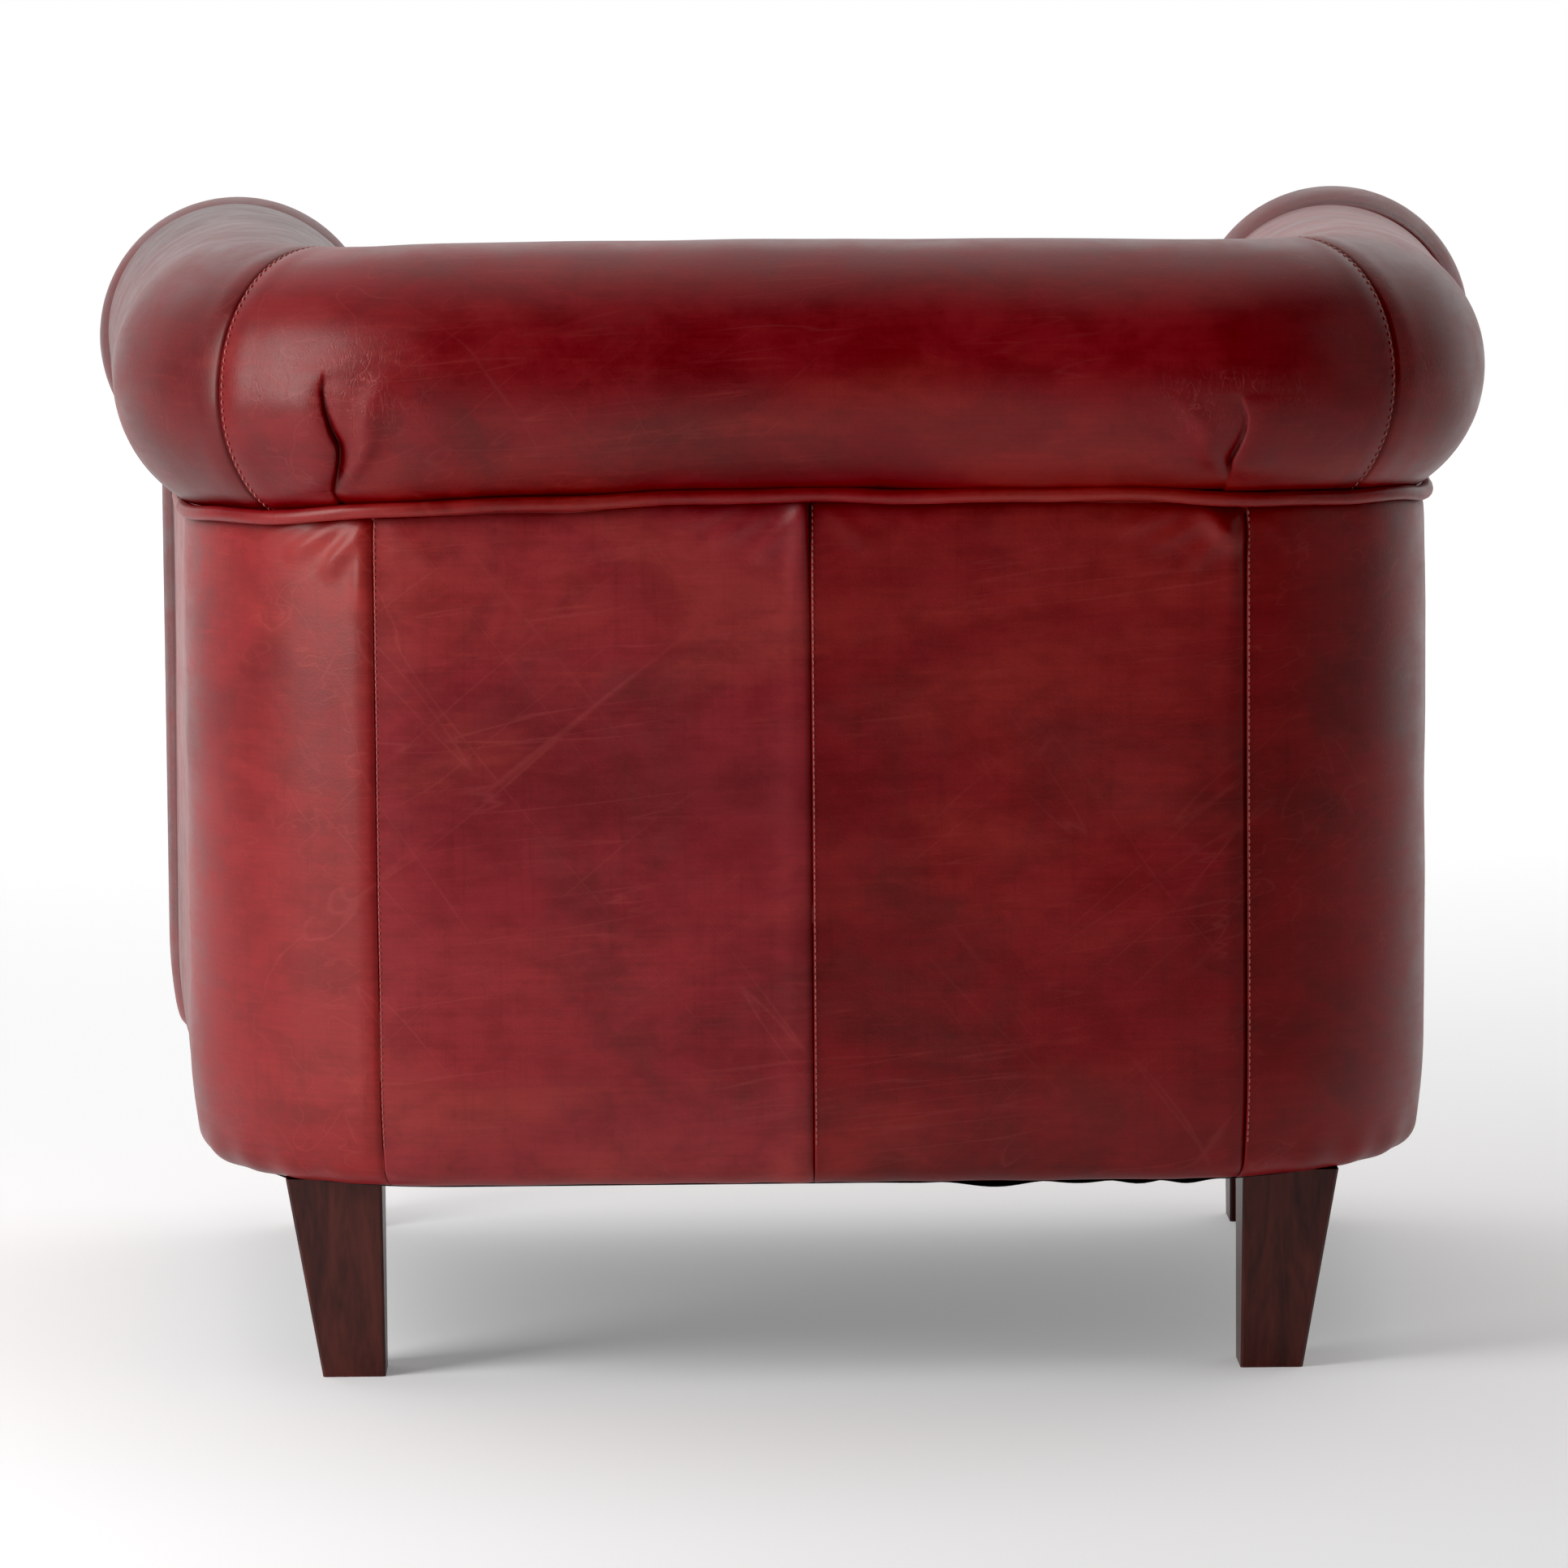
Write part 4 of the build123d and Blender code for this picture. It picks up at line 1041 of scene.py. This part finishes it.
def dust_sag(flat, depth_in):
    """Height of the dust cover: a sag towards its middle and drooping puckers along the back edge."""
    x, y = flat[:, 0], flat[:, 1]
    at_back = np.clip((y - 0.20) / 0.06, 0, 1) * np.exp(-depth_in / 0.035)
    slack = np.exp(-(((x + 0.155) / 0.085) ** 4)) + 0.8 * bell(x - 0.312, 0.012)
    pucker = np.abs(np.sin(x * 74 + 0.9 * np.sin(x * 31))) ** 1.5 * (0.7 + 0.3 * np.sin(x * 47))
    droop = at_back * slack * 0.0036 * pucker
    return bottom_height - dust_gap - droop - dust_dip * np.sin(np.clip(depth_in, 0, 1) * np.pi / 2)


def weave(name, dark, pale, scale):
    """Cloth of two thread colours crossing, with loose fibres."""
    finish, tree, place = new_finish(name)
    bands = {"Vector": place, "Scale": scale, "Distortion": 1.2, "Detail": 2}
    warp = node(tree, "TexWave", bands, out="Fac", bands_direction="X")
    weft = node(tree, "TexWave", bands, out="Fac", bands_direction="Y")
    fibre = node(tree, "TexNoise", {"Vector": place, "Scale": scale * 1.7, "Detail": 4}, out="Fac")
    threads = sums(tree, "MULTIPLY_ADD", fibre, 0.6, sums(tree, "MULTIPLY", warp, weft))
    shade(tree, {
        "Base Color": ramp(tree, threads, (0.2, dark), (0.9, pale)),
        "Roughness": 0.9,
        "Normal": node(tree, "Bump", {"Strength": 0.5, "Distance": 0.0004, "Height": threads}),
    })
    return finish


dust_edge = seat_edge(cloth_inset, front_y, 420)
dust = cloth_disc("dust_cover_cloth", dust_edge, 24, dust_sag)
dust.data.materials.append(weave("black_nonwoven", (0.008, 0.008, 0.008), (0.03, 0.03, 0.03), 420))
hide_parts("dust_cover")
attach(dust, "chair")

# Deck cloth: plain dark lining stretched over the deck pad on the springs, under the loose cushion.
# It is sewn to the border in front, pulled through under the arms and the back and stapled to the
# rails. It shows only when the cushion is lifted, with a shallow dip in its middle.
deck_height = 0.2872
deck_inset = 0.1285
deck_front = -0.3177
deck_sag = 0.0006
deck_edge = seat_edge(deck_inset, deck_front, 360)


def deck_dip(flat, depth_in):
    """Height of the deck cloth: nearly flat."""
    return deck_height - deck_sag * np.sin(np.clip(depth_in, 0, 1) * np.pi / 2)


deck = cloth_disc("deck_lining", deck_edge, 22, deck_dip)
deck.data.materials.append(weave("deck_lining", (0.030, 0.006, 0.006), (0.085, 0.018, 0.016), 330))
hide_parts("deck_cloth", "deck_pad")
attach(deck, "chair")

# Seat cushion: loose boxed cushion of foam in leather, with a welt round the top and bottom edges.
# The cloth simulation blows the panels up between the welts, which hold still.
cushion_base = 0.2879
cushion_heel = cushion_base + 0.010
cushion_top = cushion_base + 0.132
cushion_gap = 0.150
cushion_front = front_y - 0.034
cushion_rear = back_y - cushion_gap
cushion_corner = 0.034
top_swell, side_swell = 0.024, 0.0045


def cushion_edge(inset, count=40):
    """Points round the cushion's plan outline at the welts, set in, with rounded corners."""
    front, rear = cushion_front + inset, cushion_rear - inset
    half_front = half_back + (back_y - front) * flare - (cushion_gap + inset) / cos(flare_angle)
    half_rear = half_back + (back_y - rear) * flare - (cushion_gap + inset) / cos(flare_angle)
    corners = [(half_front, front), (half_rear, rear), (-half_rear, rear), (-half_front, front)]
    points = []
    for i, corner in enumerate(corners):
        corner = np.array(corner)
        before = np.array(corners[i - 1]) - corner
        after = np.array(corners[(i + 1) % 4]) - corner
        before, after = before / np.hypot(*before), after / np.hypot(*after)
        half_angle = acos(float(np.dot(before, after))) / 2
        centre = corner + (before + after) / np.hypot(*(before + after)) * cushion_corner / sin(half_angle)
        first = corner + before * cushion_corner / tan(half_angle)
        last = corner + after * cushion_corner / tan(half_angle)
        a0, a1 = np.arctan2(*(first - centre)[::-1]), np.arctan2(*(last - centre)[::-1])
        sweep = (a1 - a0 + np.pi) % (2 * np.pi) - np.pi
        for a in np.linspace(a0, a0 + sweep, 10):
            points.append(centre + cushion_corner * np.array([cos(a), sin(a)]))
        following = np.array(corners[(i + 1) % 4])
        backward = (corner - following) / np.hypot(*(corner - following))
        run_end = following + backward * cushion_corner / tan(half_angle)
        for share in np.linspace(0, 1, count)[1:-1]:
            points.append(last + share * (run_end - last))
    return np.array(points)


cushion_levels = [
    (0.012, cushion_base + 0.001),
    (0.000, cushion_heel),
    (0.001, cushion_base + 0.05),
    (0.001, cushion_base + 0.09),
    (0.000, cushion_top),
    (0.020, cushion_top + 0.008),
    (0.070, cushion_top + 0.014),
    (0.140, cushion_top + 0.016),
]
cushion_rings = np.array([
    [(x, y, z) for x, y in cushion_edge(inset)] for inset, z in cushion_levels
])
cushion = closed_sweep("seat_cushion", cushion_rings)
remesh(cushion, 0.006)
settle(cushion)
still = points_of(cushion.data)


def near_welt(points, reach):
    """Share of each point's nearness to the upper and lower welt lines."""
    line = cushion_edge(0.0)
    apart = points[:, None, :2] - line[None]
    gap = np.min(np.hypot(apart[..., 0], apart[..., 1]), axis=1)
    up = np.minimum(np.abs(points[:, 2] - cushion_top), np.abs(points[:, 2] - cushion_heel))
    return np.clip(1 - np.hypot(gap, up) / reach, 0, 1)


hold = cushion.vertex_groups.new(name="hold")
for index, share in enumerate(near_welt(still, 0.012)):
    if share > 0.2 or still[index, 2] < cushion_heel:
        hold.add([index], 1.0, "REPLACE")
air = cushion.modifiers.new("air", "CLOTH")
air.settings.use_pressure = True
air.settings.uniform_pressure_force = 4
air.settings.effector_weights.gravity = 0
air.settings.vertex_group_mass = "hold"
air.settings.quality = 4
air.point_cache.frame_start = 1
air.point_cache.frame_end = 20
for step in range(air.point_cache.frame_start, air.point_cache.frame_end + 1):
    scene.frame_set(step)
settle(cushion)
scene.frame_set(1)
moved = points_of(cushion.data) - still
far = np.linalg.norm(moved, axis=1)
cap = np.where(still[:, 2] > cushion_top - 0.002, top_swell, side_swell)
moved *= np.minimum(1, cap / np.maximum(far, 1e-9))[:, None]
blown = still + moved
blown[:, 2] = np.maximum(blown[:, 2], cushion_base)
on_top = np.clip((blown[:, 2] - cushion_top) / 0.01, 0, 1)
uneven = 0.0014 * undulation(blown[:, 0], blown[:, 1], 0.13, 51)
uneven += 0.0006 * undulation(blown[:, 0], blown[:, 1], 0.045, 52)
blown[:, 2] += on_top * uneven
cushion.data.vertices.foreach_set("co", blown.reshape(-1))
# Painted shade beside the welts, and worn creases near them.
set_marks(cushion.data, {"groove_shade": 0.7 * near_welt(blown, 0.008), "crease": 0.5 * near_welt(blown, 0.03)})
finer = cushion.modifiers.new("finer", "SUBSURF")
finer.levels = finer.render_levels = 1
settle(cushion)
cushion.data.polygons.foreach_set("use_smooth", [True] * len(cushion.data.polygons))
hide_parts("cushion_cover", "cushion_foam")
in_hide(cushion, "hide", "seat_cushion")

welt_radius, welt_inset = 0.0040, 0.0004
line = cushion_edge(welt_inset)
ahead = directions(line)
out = np.stack([ahead[:, 1], -ahead[:, 0]], 1)
n, sides = len(line), 12
for word, height in (("top", cushion_top), ("bottom", cushion_heel)):
    places = []
    for i in range(n):
        for k in range(sides):
            a = 2 * np.pi * k / sides
            p = line[i] + out[i] * welt_radius * cos(a)
            places.append((p[0], p[1], height + welt_radius * sin(a)))
    welt = put_mesh(f"cushion_{word}_piping", places, ring_faces(n, sides, wrap=True))
    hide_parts(f"cushion_{word}_welt")
    # The welts get the hide copy with painted light in its colour.
    in_hide(welt, "hide_bright", "seat_cushion")

# Legs: four blocks of solid beech, tapered on the outer faces, stained dark mahogany and lacquered
# to a satin gloss. Each is screwed on by a hanger bolt in its top.


def wood(name, dark, pale, scale, roughness, coat=0.0):
    """Straight-grained timber with growth streaks along Z and fine pores."""
    finish, tree, place = new_finish(name)
    along_grain = (1, 1, 0.07)
    streak = clouds(tree, place, scale, 7, 0.62, along_grain, 0.8)
    pore = clouds(tree, place, scale * 6, 3, 0.5, along_grain)
    grain = sums(tree, "MULTIPLY_ADD", pore, 0.35, streak)
    shade(tree, {
        "Base Color": ramp(tree, grain, (0.45, dark), (0.85, pale)),
        "Roughness": roughness,
        "Coat Weight": coat,
        "Coat Roughness": 0.2,
        "Specular IOR Level": 0.3,
        "Normal": node(tree, "Bump", {"Strength": 0.18, "Distance": 0.0004, "Height": grain}),
    })
    return finish


def finish_nodes(finish, *names):
    """Gives carried-over pieces of the frame their finish."""
    for name in names:
        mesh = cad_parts[name].data
        mesh.materials.clear()
        mesh.materials.append(finish)


finish_nodes(
    wood("mahogany_stain", (0.020, 0.0040, 0.0032), (0.082, 0.015, 0.010), 60, 0.40, 0.06),
    "rear_left_leg", "rear_right_leg", "front_left_leg", "front_right_leg",
)

# Frame and stuffing: sawn beech posts and rails, plywood rings and arm boards, a hardboard lining,
# sinuous springs with clips and ties, hessian, webbing, wadding and the leg fixings. They lie out of
# sight under the leather and are the frame's own pieces, given their finish here.
finish_nodes(
    wood("sawn_beech", (0.42, 0.27, 0.14), (0.66, 0.47, 0.29), 40, 0.75),
    "back_posts", "corner_posts", "side_posts", "arm_front_posts", "back_seat_rail", "left_seat_rail",
    "right_seat_rail", "front_seat_rail", "rear_corner_blocks", "front_corner_blocks",
)
finish_nodes(
    wood("birch_plywood", (0.55, 0.40, 0.24), (0.76, 0.60, 0.41), 26, 0.7),
    "base_ring", "top_ring", "left_arm_board", "right_arm_board",
)
finish_nodes(wood("hardboard", (0.20, 0.12, 0.065), (0.34, 0.22, 0.13), 90, 0.8), "outer_lining")
finish_nodes(
    weave("elastic_webbing", (0.06, 0.05, 0.04), (0.22, 0.19, 0.15), 300),
    "back_webbing", "left_arm_webbing", "right_arm_webbing",
)
finish_nodes(weave("jute_hessian", (0.32, 0.22, 0.12), (0.58, 0.44, 0.27), 230), "spring_cover")
finish_nodes(weave("polyester_wadding", (0.72, 0.71, 0.68), (0.90, 0.89, 0.86), 120), "outer_wadding")
finish_nodes(weave("zip_tape", (0.035, 0.008, 0.008), (0.10, 0.02, 0.018), 500), "cushion_zip")


def steel(name, dark, pale, roughness):
    """Drawn or plated steel with fine rubbed marks."""
    finish, tree, _ = new_finish(name)
    rubbed = node(tree, "TexNoise", {"Scale": 180, "Detail": 5}, out="Fac")
    colour = ramp(tree, rubbed, (0.0, dark), (1.0, pale))
    shade(tree, {"Base Color": colour, "Metallic": 1.0, "Roughness": roughness})
    return finish


finish_nodes(
    steel("zinc_plate", (0.46, 0.46, 0.48), (0.70, 0.70, 0.72), 0.35),
    "leg_bolts", "leg_tee_nuts", "spring_clips",
)
finish_nodes(
    steel("spring_wire", (0.10, 0.10, 0.11), (0.26, 0.26, 0.27), 0.42),
    "seat_springs", "spring_ties",
)
